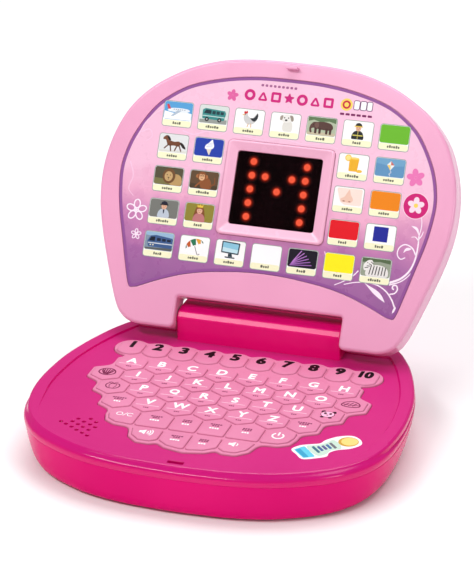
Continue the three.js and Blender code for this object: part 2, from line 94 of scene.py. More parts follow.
def catmull(pts, closed=True, fine=24):
    """Centripetal Catmull-Rom through the points."""
    p = np.asarray(pts, float)
    n = len(p)
    if closed:
        get = lambda i: p[i % n]
        spans = range(n)
    else:
        get = lambda i: 2 * p[0] - p[1] if i < 0 else (2 * p[-1] - p[-2] if i >= n else p[i])
        spans = range(n - 1)
    out = []
    for i in spans:
        a, b, c, d = get(i - 1), get(i), get(i + 1), get(i + 2)
        t = [0.0]
        for u, v in ((a, b), (b, c), (c, d)):
            t.append(t[-1] + max(1e-4, math.sqrt(np.linalg.norm(v - u))))
        for k in range(fine):
            x = t[1] + (t[2] - t[1]) * k / fine
            a1 = (t[1] - x) / (t[1] - t[0]) * a + (x - t[0]) / (t[1] - t[0]) * b
            a2 = (t[2] - x) / (t[2] - t[1]) * b + (x - t[1]) / (t[2] - t[1]) * c
            a3 = (t[3] - x) / (t[3] - t[2]) * c + (x - t[2]) / (t[3] - t[2]) * d
            b1 = (t[2] - x) / (t[2] - t[0]) * a1 + (x - t[0]) / (t[2] - t[0]) * a2
            b2 = (t[3] - x) / (t[3] - t[1]) * a2 + (x - t[1]) / (t[3] - t[1]) * a3
            out.append((t[2] - x) / (t[2] - t[1]) * b1 + (x - t[1]) / (t[2] - t[1]) * b2)
    if not closed:
        out.append(p[-1])
    return np.array(out)


def mirrored(half):
    right = [tuple(p) for p in half]
    return right + [(-x, y) for x, y in reversed(right) if abs(x) > 1e-6]


def area(p):
    p = np.asarray(p)
    x, y = p[:, 0], p[:, 1]
    return 0.5 * np.sum(x * np.roll(y, -1) - np.roll(x, -1) * y)


def ccw(p):
    p = np.asarray(p, float)
    return p[::-1].copy() if area(p) < 0 else p


def round_poly(pts, radii, seg=6):
    """Fillets each corner of a closed outline."""
    p = np.asarray(pts, float)
    n = len(p)
    r = [radii] * n if np.isscalar(radii) else list(radii)
    out = []
    for i in range(n):
        a, b, c = p[i - 1], p[i], p[(i + 1) % n]
        u, v = a - b, c - b
        lu, lv = np.linalg.norm(u), np.linalg.norm(v)
        u, v = u / lu, v / lv
        ang = math.acos(max(-1, min(1, float(u @ v))))
        if r[i] <= 0 or ang > math.pi - 0.03:
            out.append(b)
            continue
        t = min(r[i] / math.tan(ang / 2), 0.48 * lu, 0.48 * lv)
        rr = t * math.tan(ang / 2)
        m = (u + v) / np.linalg.norm(u + v)
        cen = b + m * (rr / math.sin(ang / 2))
        s, e = b + u * t - cen, b + v * t - cen
        a0, a1 = math.atan2(s[1], s[0]), math.atan2(e[1], e[0])
        da = (a1 - a0 + math.pi) % (2 * math.pi) - math.pi
        for k in range(seg + 1):
            x = a0 + da * k / seg
            out.append(cen + rr * np.array([math.cos(x), math.sin(x)]))
    return np.array(out)


def normals2(p):
    a, b = np.roll(p, 1, 0), np.roll(p, -1, 0)
    e1, e2 = p - a, b - p
    e1 = e1 / np.maximum(1e-9, np.linalg.norm(e1, axis=1, keepdims=True))
    e2 = e2 / np.maximum(1e-9, np.linalg.norm(e2, axis=1, keepdims=True))
    n1, n2 = np.stack([e1[:, 1], -e1[:, 0]], 1), np.stack([e2[:, 1], -e2[:, 0]], 1)
    m = n1 + n2
    m = m / np.maximum(1e-9, np.linalg.norm(m, axis=1, keepdims=True))
    k = np.maximum(0.35, np.sum(m * n1, 1))
    return m, k


def inset(p, d):
    """Moves a counter-clockwise outline inwards by d (a number or one per corner)."""
    m, k = normals2(p)
    dd = np.full(len(p), float(d)) if np.isscalar(d) else d
    return p - m * (dd / k)[:, None]


def poly_dist(P, poly):
    """Signed distance from points P to a closed outline, negative inside."""
    poly = np.asarray(poly, float)
    a, b = poly, np.roll(poly, -1, 0)
    d = b - a
    w = P[:, None, :] - a[None]
    t = np.clip(np.sum(w * d, -1) / np.maximum(1e-9, np.sum(d * d, -1)), 0, 1)
    dist = np.min(np.linalg.norm(w - d * t[..., None], axis=-1), 1)
    inside = np.zeros(len(P), bool)
    for i in range(len(a)):
        (x0, y0), (x1, y1) = a[i], b[i]
        hit = ((y0 > P[:, 1]) != (y1 > P[:, 1])) & (P[:, 0] < (x1 - x0) * (P[:, 1] - y0) / (y1 - y0 + 1e-12) + x0)
        inside ^= hit
    return np.where(inside, -dist, dist)


def refine(p, step):
    """The same closed outline with no edge longer than step."""
    p = np.asarray(p, float)
    out = []
    for a, b in zip(p, np.roll(p, -1, 0)):
        m = max(1, int(math.ceil(np.linalg.norm(b - a) / step)))
        out += [a + (b - a) * k / m for k in range(m)]
    return np.array(out)


def inset_clean(p, d, step=0.5):
    """Inset outline without the loops that tight corners would leave."""
    p = refine(ccw(p), step)
    q = inset(p, d)
    keep = poly_dist(q, p) <= -abs(d) * 0.97 if d > 0 else poly_dist(q, p) >= abs(d) * 0.97
    return q[keep]


def hexagon(cx, cy, flat, r=1.8, seg=5):
    R = flat / math.sqrt(3)
    return round_poly([(cx + R * math.cos(math.pi / 6 + math.pi / 3 * i), cy + R * math.sin(math.pi / 6 + math.pi / 3 * i)) for i in range(6)], r, seg)


def circle(cx, cy, r, n=32, ry=None):
    ry = r if ry is None else ry
    return np.array([(cx + r * math.cos(2 * math.pi * i / n), cy + ry * math.sin(2 * math.pi * i / n)) for i in range(n)])


def rect(x0, x1, y0, y1, r=0.0, seg=5):
    p = [(x0, y0), (x1, y0), (x1, y1), (x0, y1)]
    return round_poly(p, r, seg) if r > 0 else np.array(p, float)


def smooth(x, a, b):
    t = np.clip((x - a) / (b - a), 0, 1)
    return t * t * (3 - 2 * t)


# ------------------------------------------------------------------ meshes
class Geo:
    """Closed shells in one list of corners and faces, with a material number for each face and an ink colour for each corner."""

    def __init__(self, to=base_pt):
        self.v, self.f, self.m, self.c, self.to = [], [], [], [], to

    def shell(self, verts, faces, mat=0, ink=(1, 1, 1)):
        o = len(self.v)
        self.v += [tuple(x) for x in verts]
        self.f += [tuple(o + i for i in f) for f in faces]
        self.m += [mat] * len(faces)
        self.c += [ink] * len(verts)
        return self

    def loft(self, sections, mat=0, ink=(1, 1, 1), ring=False):
        """sections: [(outline, height)] lowest first; the height is a number or one per corner. With ring=True they close on themselves."""
        n = len(sections[0][0])
        v, f = [], []
        for p, z in sections:
            zz = np.full(n, float(z)) if np.isscalar(z) else z
            v += [(a[0], a[1], b) for a, b in zip(p, zz)]
        k = len(sections)
        for j in range(k if ring else k - 1):
            a, b = j * n, ((j + 1) % k) * n
            for i in range(n):
                q = (i + 1) % n
                f.append((a + i, a + q, b + q, b + i))
        if not ring:
            f.append(tuple(reversed(range(n))))
            f.append(tuple((k - 1) * n + i for i in range(n)))
        return self.shell(v, f, mat, ink)

    def plate(self, outline, h0, h1, mat=0, ink=(1, 1, 1), holes=()):
        loops = [ccw(outline)] + [ccw(h)[::-1] for h in holes]
        flat = np.vstack(loops)
        tris = tessellate_polygon([[Vector((a[0], a[1], 0)) for a in l] for l in loops])
        return self.flat(flat, tris, h0, h1, mat, ink)

    def flat(self, pts, tris, h0, h1, mat=0, ink=(1, 1, 1)):
        """A flat fill between two heights (numbers or a function of the points)."""
        pts = np.asarray(pts, float)
        n = len(pts)
        t2, slivers, used = [], [], set()
        for t in tris:
            t = tuple(t)
            if len(set(t)) < 3:
                continue
            a, b, c = (pts[i] for i in t[:3])
            s = (b[0] - a[0]) * (c[1] - a[1]) - (b[1] - a[1]) * (c[0] - a[0])
            if abs(s) < 1e-6:
                slivers.append(t)
                continue
            t = t if s > 0 else t[::-1]
            t2.append(t)
            used.update((t[i], t[(i + 1) % len(t)]) for i in range(len(t)))
        while slivers:  # a sliver has no area of its own to go by, so it is wound to suit the triangles beside it
            k = next((i for i, t in enumerate(slivers) if any((t[j], t[j - 1]) in used or (t[j - 1], t[j]) in used for j in range(len(t)))), 0)
            t = slivers.pop(k)
            if any((t[j - 1], t[j]) in used for j in range(len(t))):
                t = t[::-1]
            t2.append(t)
            used.update((t[i], t[(i + 1) % len(t)]) for i in range(len(t)))
        z0 = h0(pts) if callable(h0) else np.full(n, float(h0))
        z1 = h1(pts) if callable(h1) else np.full(n, float(h1))
        v = [(p[0], p[1], z) for p, z in zip(pts, z0)] + [(p[0], p[1], z) for p, z in zip(pts, z1)]
        f, edges = [], {}
        for t in t2:
            f.append(tuple(i + n for i in t))
            f.append(tuple(reversed(t)))
            for i in range(len(t)):
                e = (t[i], t[(i + 1) % len(t)])
                edges[e] = edges.get(e, 0) + 1
        for a, b in edges:
            if (b, a) not in edges:
                f.append((a, b, b + n, a + n))
        return self.shell(v, f, mat, ink)

    def mesh(self, name):
        me = bpy.data.meshes.new(name)
        me.from_pydata([tuple(x) for x in self.to(np.array(self.v))], [], self.f)
        me.validate(verbose=False)
        if len(me.polygons) == len(self.m):
            me.polygons.foreach_set("material_index", self.m)
        col = me.color_attributes.new("ink", "FLOAT_COLOR", "POINT")
        if len(me.vertices) == len(self.c):
            col.data.foreach_set("color", np.array([(*c, 1.0) for c in self.c], dtype=np.float32).ravel())
        return me


def place(me, name, body, mats, replaces=(), angle=35, weighted=True):
    o = bpy.data.objects.new(name, me)
    SCENE.collection.objects.link(o)
    for m in mats:
        me.materials.append(m)
    me.shade_smooth()
    me.set_sharp_from_angle(angle=math.radians(angle))
    if weighted:
        wn = o.modifiers.new("face_weighted", "WEIGHTED_NORMAL")
        wn.mode, wn.weight, wn.keep_sharp = "FACE_AREA", 50, True
    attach(o, body)
    if replaces:
        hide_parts(*replaces)
    return o


def combine(a, b, how):
    """Boolean of two meshes; the result comes back as a new mesh."""
    oa, ob = bpy.data.objects.new("bool_a", a), bpy.data.objects.new("bool_b", b)
    SCENE.collection.objects.link(oa)
    SCENE.collection.objects.link(ob)
    md = oa.modifiers.new("b", "BOOLEAN")
    md.operation, md.object, md.solver = how, ob, "MANIFOLD"
    bpy.context.view_layer.update()
    dg = bpy.context.evaluated_depsgraph_get()
    out = bpy.data.meshes.new_from_object(oa.evaluated_get(dg))
    before = len(a.polygons)
    bpy.data.objects.remove(oa)
    bpy.data.objects.remove(ob)
    if len(out.polygons) == 0:
        print("EMPTY BOOLEAN", how, before)
    out.materials.clear()
    out.polygons.foreach_set("material_index", [0] * len(out.polygons))
    return out


def cut(me, geo):
    return combine(me, geo.mesh("cutter"), "DIFFERENCE")


def join(me, geo):
    return combine(me, geo.mesh("adder"), "UNION")


def weld(me, dist=2e-6):
    bm = bmesh.new()
    bm.from_mesh(me)
    bmesh.ops.remove_doubles(bm, verts=bm.verts, dist=dist)
    bmesh.ops.dissolve_degenerate(bm, edges=bm.edges, dist=dist)
    bm.to_mesh(me)
    bm.free()
    return me


def rod(cx, cy, r, z0, z1, n=24, to=base_pt):
    return Geo(to).loft([(circle(cx, cy, r, n), z0), (circle(cx, cy, r, n), z1)])


def box(x0, x1, y0, y1, z0, z1, r=0.0, to=base_pt):
    p = rect(x0, x1, y0, y1, r)
    return Geo(to).loft([(p, z0), (p, z1)])


def along_x(profile, stations, to=base_pt, closed_caps=True):
    """Closed solid of (y, z) outlines at stations [(x, outline)], x rising."""
    g = Geo(to)
    n = len(profile)
    v, f = [], []
    for x, p in stations:
        v += [(x, a[0], a[1]) for a in p]
    for j in range(len(stations) - 1):
        for i in range(n):
            q = (i + 1) % n
            f.append((j * n + i, j * n + q, (j + 1) * n + q, (j + 1) * n + i))
    f.append(tuple(reversed(range(n))))
    f.append(tuple((len(stations) - 1) * n + i for i in range(n)))
    return g.shell(v, f)


# ------------------------------------------------------------------ materials
class Nodes:
    def __init__(self, name):
        self.mat = bpy.data.materials.new(name)
        self.mat.use_nodes = True
        self.t = self.mat.node_tree
        self.t.nodes.clear()
        self.out = self.t.nodes.new("ShaderNodeOutputMaterial")
        self.bsdf = self.t.nodes.new("ShaderNodeBsdfPrincipled")
        self.link(self.bsdf.outputs[0], self.out.inputs["Surface"])

    def new(self, kind, **kw):
        n = self.t.nodes.new("ShaderNode" + kind)
        for k, v in kw.items():
            setattr(n, k, v)
        return n

    def link(self, a, b):
        self.t.links.new(a, b)

    def coords(self, which="Object"):
        return self.new("TexCoord").outputs[which]

    def noise(self, scale, detail=3.0, rough=0.5, vec=None, distortion=0.0, stretch=None):
        n = self.new("TexNoise")
        n.inputs["Scale"].default_value = scale
        n.inputs["Detail"].default_value = detail
        n.inputs["Roughness"].default_value = rough
        n.inputs["Distortion"].default_value = distortion
        v = vec or self.coords()
        if stretch:
            mp = self.new("Mapping")
            mp.inputs["Scale"].default_value = stretch
            self.link(v, mp.inputs[0])
            v = mp.outputs[0]
        self.link(v, n.inputs["Vector"])
        return n.outputs["Fac"]

    def ramp(self, fac, stops):
        r = self.new("ValToRGB")
        e = r.color_ramp.elements
        while len(e) < len(stops):
            e.new(0.5)
        for i, (pos, c) in enumerate(stops):
            e[i].position = pos
            e[i].color = (*c, 1) if len(c) == 3 else c
        self.link(fac, r.inputs[0])
        return r.outputs["Color"]

    def span(self, fac, a, b, lo=0.0, hi=1.0):
        r = self.new("MapRange")
        r.inputs["From Min"].default_value = lo
        r.inputs["From Max"].default_value = hi
        r.inputs["To Min"].default_value = a
        r.inputs["To Max"].default_value = b
        self.link(fac, r.inputs["Value"])
        return r.outputs["Result"]

    def mix(self, fac, a, b, blend="MIX"):
        m = self.new("Mix", data_type="RGBA", blend_type=blend)
        for sock, val in ((m.inputs[0], fac), (m.inputs[6], a), (m.inputs[7], b)):
            if isinstance(val, bpy.types.NodeSocket):
                self.link(val, sock)
            elif isinstance(val, (int, float)):
                sock.default_value = val
            else:
                sock.default_value = (*val, 1) if len(val) == 3 else val
        return m.outputs[2]

    def math(self, op, a, b=None):
        m = self.new("Math", operation=op)
        for sock, val in ((m.inputs[0], a), (m.inputs[1], b)):
            if val is None:
                continue
            if isinstance(val, bpy.types.NodeSocket):
                self.link(val, sock)
            else:
                sock.default_value = val
        return m.outputs[0]

    def bump(self, height, strength, distance, normal=None):
        b = self.new("Bump")
        b.inputs["Strength"].default_value = strength
        b.inputs["Distance"].default_value = distance
        self.link(height, b.inputs["Height"])
        if normal is not None:
            self.link(normal, b.inputs["Normal"])
        self.link(b.outputs[0], self.bsdf.inputs["Normal"])
        return b.outputs[0]

    def set(self, **kw):
        for k, v in kw.items():
            s = self.bsdf.inputs[k.replace("_", " ")]
            if isinstance(v, bpy.types.NodeSocket):
                self.link(v, s)
            elif isinstance(v, tuple) and len(v) == 3 and s.type == "RGBA":
                s.default_value = (*v, 1)
            else:
                s.default_value = v
        return self


def plastic(name, colour, rough=(0.24, 0.34), grain=(900, 0.04, 0.00004), tint=0.04, coat=0.0, spec=0.5, sss=0.0):
    """Moulded plastic: slow colour drift, dust-fine grain, faint rubbing marks in the gloss."""
    n = Nodes(name)
    slow = n.noise(14, 2, 0.5)
    dark = tuple(c * (1 - tint) for c in colour)
    light = tuple(min(1, c * (1 + tint) + 0.004) for c in colour)
    n.set(Base_Color=n.ramp(slow, [(0.3, dark), (0.7, light)]))
    rub = n.noise(90, 4, 0.6, stretch=(1, 0.35, 1))
    marks = n.noise(420, 2, 0.5, stretch=(1, 0.12, 0.3))
    r = n.math("ADD", n.span(rub, rough[0], rough[1], 0.2, 0.8), n.span(marks, 0.0, 0.02, 0.62, 0.8))
    n.set(Roughness=r)
    n.bump(n.noise(grain[0], 3, 0.6), grain[1], grain[2])
    n.set(Specular_IOR_Level=spec, IOR=1.5)
    if coat:
        n.set(Coat_Weight=coat, Coat_Roughness=0.12)
    if sss:
        n.set(Subsurface_Weight=sss, Subsurface_Radius=(0.004, 0.0015, 0.002), Subsurface_Scale=0.6)
    return n.mat


MAGENTA_C = srgb(224, 0, 112)
# painted shade and sheen: the satin recess is painted darker than the case magenta to offset the top light, with a
# whitish painted sheen in its base colour; its roughness and grain are the real satin finish
DECK_SHADE_AND_SHEEN_C = srgb(196, 32, 118)
MAGENTA = plastic("magenta_gloss", MAGENTA_C, rough=(0.15, 0.24), grain=(700, 0.05, 0.00005), spec=0.08)
DECK = plastic("magenta_satin", DECK_SHADE_AND_SHEEN_C, rough=(0.36, 0.46), grain=(1800, 0.25, 0.00006), tint=0.03, spec=0.12)
# painted light: the hinge block gets a brighter magenta than the case plastic it is moulded with, to lift it out of the
# lid's shade
BLOCK_SHADE_LIFT_C = srgb(236, 2, 120)
BLOCK = plastic("magenta_block", BLOCK_SHADE_LIFT_C, rough=(0.2, 0.25), grain=(700, 0.04, 0.00004), spec=0.27)
BLOCK_TOP = plastic("magenta_block_top", BLOCK_SHADE_LIFT_C, rough=(0.3, 0.4), grain=(900, 0.1, 0.00005), spec=0.05)
# painted shade: a deeper magenta for faces that look up, to offset the top light on them
TOPSIDE_SHADE_C = srgb(196, 8, 112)


def deck_gloss():
    """The deck's glossy plastic, painted a little deeper in colour where it faces up: painted shade that evens out the
    stronger light from above.
    """
    n = Nodes("magenta_gloss_deck")
    geo = n.new("NewGeometry")
    sep = n.new("SeparateXYZ")
    n.link(geo.outputs["Normal"], sep.inputs[0])
    slow = n.ramp(n.noise(14, 2, 0.5), [(0.3, (0.955, 0.955, 0.955)), (0.7, (1.0, 1.0, 1.0))])
    # painted shade: the more a face looks up, the more of the deeper topside colour it takes
    up = n.span(sep.outputs[2], 0.0, 1.0, 0.15, 0.8)
    n.set(Base_Color=n.mix(1.0, n.mix(up, MAGENTA_C, TOPSIDE_SHADE_C), slow, "MULTIPLY"))
    n.set(Roughness=n.span(n.noise(90, 4, 0.6, stretch=(1, 0.35, 1)), 0.13, 0.2, 0.2, 0.8))
    n.bump(n.noise(700, 3, 0.6), 0.05, 0.00005)
    n.set(Specular_IOR_Level=0.3, IOR=1.5)
    return n.mat


DECK_GLOSS = deck_gloss()
INSIDE = plastic("magenta_unpolished", srgb(170, 0, 84), rough=(0.5, 0.6), grain=(1200, 0.3, 0.00008))
LID_C = srgb(236, 162, 197)
LIDP = plastic("light_pink_gloss", LID_C, rough=(0.18, 0.28), grain=(700, 0.05, 0.00005), tint=0.03)
FRAMEP = plastic("display_frame_pink", srgb(240, 178, 205), rough=(0.2, 0.3), grain=(900, 0.05, 0.00005), tint=0.02)


def silicone():
    n = Nodes("pink_silicone")
    slow = n.noise(30, 3, 0.5)
    n.set(Base_Color=n.ramp(slow, [(0.3, srgb(212, 120, 158)), (0.7, srgb(218, 128, 165))]))
    n.set(Roughness=n.span(n.noise(160, 3, 0.6), 0.42, 0.56, 0.3, 0.7))
    n.bump(n.noise(2600, 2, 0.5), 0.22, 0.00005)
    n.set(Specular_IOR_Level=0.42, Sheen_Weight=0.12, Sheen_Roughness=0.4)
    return n.mat


SILICONE = silicone()


def ink(name="printed_ink", rough=(0.3, 0.4), gloss=0.5, wear=0.0):
    """Printed colour from the mesh's ink attribute, with the fine dot grain and the slight unevenness of a print."""
    n = Nodes(name)
    a = n.new("Attribute", attribute_name="ink")
    dots = n.noise(3800, 1, 0.5)
    slow = n.noise(60, 2, 0.5)
    c = n.mix(n.span(slow, 0.0, 0.10, 0.3, 0.7), a.outputs["Color"], (0.78, 0.72, 0.76), "MULTIPLY")
    c = n.mix(n.span(dots, 0.0, 0.12, 0.45, 0.75), c, (0.6, 0.55, 0.6), "MULTIPLY")
    n.set(Base_Color=c, Roughness=n.span(n.noise(120, 3, 0.6), rough[0], rough[1], 0.3, 0.7))
    n.bump(dots, 0.06, 0.00003)
    n.set(Specular_IOR_Level=gloss)
    return n.mat


INK = ink(gloss=0.14)
KEY_INK = ink("key_print", rough=(0.38, 0.5), gloss=0.12)


def metal(name, colour, rough=(0.22, 0.4)):
    n = Nodes(name)
    n.set(Base_Color=n.ramp(n.noise(300, 3, 0.6), [(0.3, tuple(c * 0.8 for c in colour)), (0.7, colour)]), Metallic=1.0)
    n.set(Roughness=n.span(n.noise(900, 4, 0.7, stretch=(1, 1, 0.1)), rough[0], rough[1], 0.3, 0.7))
    n.bump(n.noise(1500, 3, 0.6), 0.12, 0.00004)
    return n.mat


STEEL = metal("steel", (0.62, 0.62, 0.64))
SPRING = metal("nickel_plate", (0.72, 0.7, 0.66), (0.15, 0.3))


def board():
    n = Nodes("circuit_board_green")
    v = n.new("TexVoronoi", feature="DISTANCE_TO_EDGE")
    v.inputs["Scale"].default_value = 180
    n.link(n.coords(), v.inputs["Vector"])
    track = n.span(v.outputs["Distance"], 1.0, 0.0, 0.02, 0.06)
    n.set(Base_Color=n.mix(track, srgb(24, 92, 44), srgb(52, 140, 76)), Roughness=n.span(n.noise(300), 0.3, 0.45))
    n.bump(track, 0.2, 0.00005)
    return n.mat


BOARD = board()


def black_plastic(name, colour=srgb(22, 16, 18), rough=(0.35, 0.5), spec=0.5):
    n = Nodes(name)
    n.set(Specular_IOR_Level=spec)
    n.set(Base_Color=n.ramp(n.noise(40), [(0.3, tuple(c * 0.8 for c in colour)), (0.7, tuple(c * 1.3 for c in colour))]))
    n.set(Roughness=n.span(n.noise(400, 3, 0.6), rough[0], rough[1], 0.3, 0.7))
    n.bump(n.noise(1600, 2), 0.15, 0.00005)
    return n.mat


DARK = black_plastic("dark_maroon_board", srgb(10, 1, 4), (0.8, 0.95), 0.02)
CONE = black_plastic("speaker_paper", srgb(38, 36, 36), (0.6, 0.8))
WIRE = black_plastic("cable_jacket", srgb(40, 38, 38), (0.45, 0.6))


def lamp(name, colour, strength, spec=0.3):
    n = Nodes(name)
    n.set(Specular_IOR_Level=spec)
    f = n.new("LayerWeight")
    f.inputs[0].default_value = 0.4
    n.set(Base_Color=n.ramp(n.noise(500, 2), [(0.3, tuple(c * 0.7 for c in colour)), (0.7, colour)]), Roughness=0.3)
    n.bump(n.noise(900, 2), 0.1, 0.00005)
    n.bsdf.inputs["Emission Color"].default_value = (*colour, 1)
    n.bsdf.inputs["Emission Strength"].default_value = strength
    return n.mat


LAMP_ON = lamp("lamp_lit", (1.0, 0.12, 0.055), 5.6)


def glow():
    """Light that spills round a lit lamp: emission from the ink attribute, which falls to nothing at the rim."""
    n = Nodes("lamp_glow")
    a = n.new("Attribute", attribute_name="ink")
    n.set(Base_Color=n.ramp(n.noise(500, 2), [(0.3, (0.006, 0.002, 0.002)), (0.7, (0.01, 0.003, 0.003))]), Roughness=0.4)
    n.bump(n.noise(1200, 2), 0.1, 0.00004)
    n.link(a.outputs["Color"], n.bsdf.inputs["Emission Color"])
    n.bsdf.inputs["Emission Strength"].default_value = 1.0
    return n.mat


GLOW = glow()
LAMP_OFF = lamp("lamp_dark", (0.004, 0.0006, 0.001), 0.0, 0.02)


def smoked():
    n = Nodes("smoked_window")
    n.set(Base_Color=n.ramp(n.noise(60, 2), [(0.3, (0.004, 0.0012, 0.0015)), (0.7, (0.008, 0.002, 0.003))]), Roughness=n.span(n.noise(200, 3), 0.1, 0.16, 0.3, 0.7))
    n.bump(n.noise(700, 2), 0.03, 0.00003)
    n.set(Alpha=0.6, Specular_IOR_Level=0.04)
    return n.mat


SMOKED = smoked()


def sheet_material():
    """The lid's printed sheet: light pink at the top running into purple below, with a slow drift between the two."""
    n = Nodes("printed_sheet_gradient")
    a = n.new("Attribute", attribute_name="flat")  # x = across, y = up the lid, in mm / 100
    sep = n.new("SeparateXYZ")
    n.link(a.outputs["Vector"], sep.inputs[0])
    x, s = sep.outputs[0], sep.outputs[1]
    drift = n.noise(5.5, 2, 0.5, vec=a.outputs["Vector"])
    h = n.math("ADD", s, n.math("MULTIPLY", n.math("ABSOLUTE", x), -0.06))
    h = n.math("ADD", h, n.span(drift, -0.07, 0.07, 0.3, 0.7))
    col = n.ramp(h, [(0.30, srgb(146, 84, 148)), (0.52, srgb(162, 94, 158)), (0.70, srgb(198, 122, 174)), (0.86, srgb(234, 166, 198)), (0.99, srgb(240, 186, 212))])
    grain = n.noise(3800, 1)
    col = n.mix(n.span(grain, 0.0, 0.10, 0.45, 0.75), col, (0.7, 0.6, 0.7), "MULTIPLY")
    n.set(Base_Color=col, Roughness=n.span(n.noise(120, 3, 0.6), 0.24, 0.34, 0.3, 0.7), Specular_IOR_Level=0.5)
    n.bump(grain, 0.05, 0.00003)
    return n.mat


SHEET_M = sheet_material()


def cell_label():
    n = Nodes("battery_label")
    sep = n.new("SeparateXYZ")
    n.link(n.coords(), sep.inputs[0])
    ends = n.span(n.math("ABSOLUTE", sep.outputs[0]), 0.0, 1.0, 0.0165, 0.0168)
    c = n.mix(ends, srgb(34, 120, 70), srgb(196, 168, 92))
    n.set(Base_Color=n.mix(n.span(n.noise(300), 0, 0.2), c, (0.4, 0.4, 0.4), "MULTIPLY"), Roughness=n.span(n.noise(200), 0.25, 0.35), Metallic=0.3)
    n.bump(n.noise(900), 0.05, 0.00004)
    return n.mat


CELL = cell_label()

# ------------------------------------------------------------------ outlines of the part
BASE_HALF = [(0, -148.8), (15, -148.3), (30, -147.2), (42, -145.2), (55, -141.8), (68, -136.2), (78, -130.5), (86.5, -124), (94, -115.5), (99.5, -106.5), (103.5, -96), (106, -84), (107, -70), (106.3, -54), (104, -36), (100, -20), (96, -8), (91, 4.5), (86, 14), (81, 22), (75, 28), (66, 31.4), (50, 32.6), (25, 33), (0, 33)]
EDGE = resample(ccw(catmull(mirrored(BASE_HALF))), n=260)
EDGE_N, _ = normals2(EDGE)
FRONT = np.maximum(0, -EDGE_N[:, 1]) ** 2
LEDGE = 0.3 + 2.9 * smooth(-EDGE[:, 1], 62, 125)


def wall(side, ahead):
    return inset(EDGE, side + (ahead - side) * FRONT - LEDGE)


HEX, ROWP = 18.0, 15.75
row_y = lambda r: -37 - ROWP * (r - 1)
LETTERS = [(c, -63 + HEX * i, row_y(1)) for i, c in enumerate("ABCDEFGH")] + [(c, -54 + HEX * i, row_y(2)) for i, c in enumerate("IJKLMNO")] + [(c, -45 + HEX * i, row_y(3)) for i, c in enumerate("PQRSTU")] + [(c, -36 + HEX * i, row_y(4)) for i, c in enumerate("VWXYZ")]
PICTURES = [(-72, row_y(2)), (72, row_y(2)), (-63, row_y(3)), (63, row_y(3)), (-54, row_y(4)), (54, row_y(4))]
POWER = [(36, -111), (47, -110.2), (52, -107), (54, -101), (54, -94.8), (45, -90.4), (36, -94.8)]
MENU = [(-x, y) for x, y in reversed(POWER)]
VOL_DOWN = [(17, -112), (17, -124), (21, -127.2), (28, -127), (33.4, -122), (36, -112)]
VOL_UP = [(-x, y) for x, y in reversed(VOL_DOWN)]
MODES = [
    [(-36, -111), (-16.4, -111), (-16.4, -95), (-27, -90.4), (-36, -94.8)],
    [(-16.4, -111), (0, -111), (0, -94.8), (-9, -90.4), (-16.4, -94.2)],
    [(0, -111), (16.4, -111), (16.4, -94.2), (9, -90.4), (0, -94.8)],
    [(16.4, -111), (36, -111), (36, -94.8), (27, -90.4), (16.4, -95)],
    [(-17, -112), (-17, -124), (-11, -129), (-4, -130.6), (0, -130.8), (0, -112)],
    [(0, -112), (0, -130.8), (4, -130.6), (11, -129), (17, -124), (17, -112)],
]
NUM_P, NUM_Y, NUM_R = 15.57, -17.2, 8.8
num_x = lambda i: -4.5 * NUM_P + NUM_P * i


def number_cell(i, grow=0.0, seg=9):
    x, r = num_x(i), NUM_R + grow
    h = NUM_P / 2 - 0.6 + grow
    a = math.acos(min(1, h / r))
    top = [(x + r * math.cos(a + (math.pi - 2 * a) * k / seg), NUM_Y + r * math.sin(a + (math.pi - 2 * a) * k / seg)) for k in range(seg + 1)]
    low = [(x + r * math.cos(math.pi + a + (math.pi - 2 * a) * k / seg), NUM_Y + r * math.sin(math.pi + a + (math.pi - 2 * a) * k / seg)) for k in range(seg + 1)]
    p = top + low
    radii = [1.2 if k in (0, seg, seg + 1, 2 * seg + 1) else 0 for k in range(len(p))]
    return round_poly(p, radii, 4)


# ------------------------------------------------------------------ silicone field outline, traced on a distance field
SHARP_SHAPES = [hexagon(x, y, 21.4 - 3, 0.1, 1) for _, x, y in LETTERS] + [hexagon(x, y, 21.4 - 3, 0.1, 1) for x, y in PICTURES] + [np.array(ccw(c)) for c in (POWER, MENU, VOL_DOWN, VOL_UP, *MODES)] + [rect(-68.5, 68.5, -28.5, -13.5)]


SHAPE_BOXES = [(s.min(0) - 14, s.max(0) + 14) for s in SHARP_SHAPES]


def field_dist(P):
    """Distance to the keypad's outer lip, with soft inner corners."""
    c = P[0]
    ds = [poly_dist(P, s) - (1.5 if i < 32 or i == len(SHARP_SHAPES) - 1 else 1.8) for i, s in enumerate(SHARP_SHAPES) if np.all(c > SHAPE_BOXES[i][0]) and np.all(c < SHAPE_BOXES[i][1])]
    ds += [np.hypot(P[:, 0] - num_x(i), P[:, 1] + 16.4) - 10.5 for i in range(10)]
    ds = np.array(ds)
    k = 1.1
    m = ds.min(0)
    return m - k * np.log(np.sum(np.exp(-(ds - m) / k), 0)) + k * 0.25


def trace(fn, start, step=0.8):
    """Follows the zero line of a distance field once round, counter-clockwise."""
    def grad(p):
        h = 0.02
        q = np.array([p, p + (h, 0), p - (h, 0), p + (0, h), p - (0, h)])
        v = fn(q)
        return v[0], np.array([(v[1] - v[2]) / (2 * h), (v[3] - v[4]) / (2 * h)])

    def settle(p):
        for _ in range(4):
            v, g = grad(p)
            p = p - g * v / max(1e-6, g @ g)
        return p, g / np.linalg.norm(g)

    p, g = settle(np.array(start, float))
    pts = [p]
    while True:
        q, g = settle(p + np.array([-g[1], g[0]]) * step)
        if len(pts) > 20 and np.linalg.norm(q - pts[0]) < step * 0.8:
            break
        pts.append(q)
        p = q
        if len(pts) > 4000:
            break
    return ccw(pts)


LIP = resample(trace(field_dist, (0, -5.0), 1.2), step=1.0)

# ------------------------------------------------------------------ print on the keys: letters, figures and small marks
_glyphs = {}


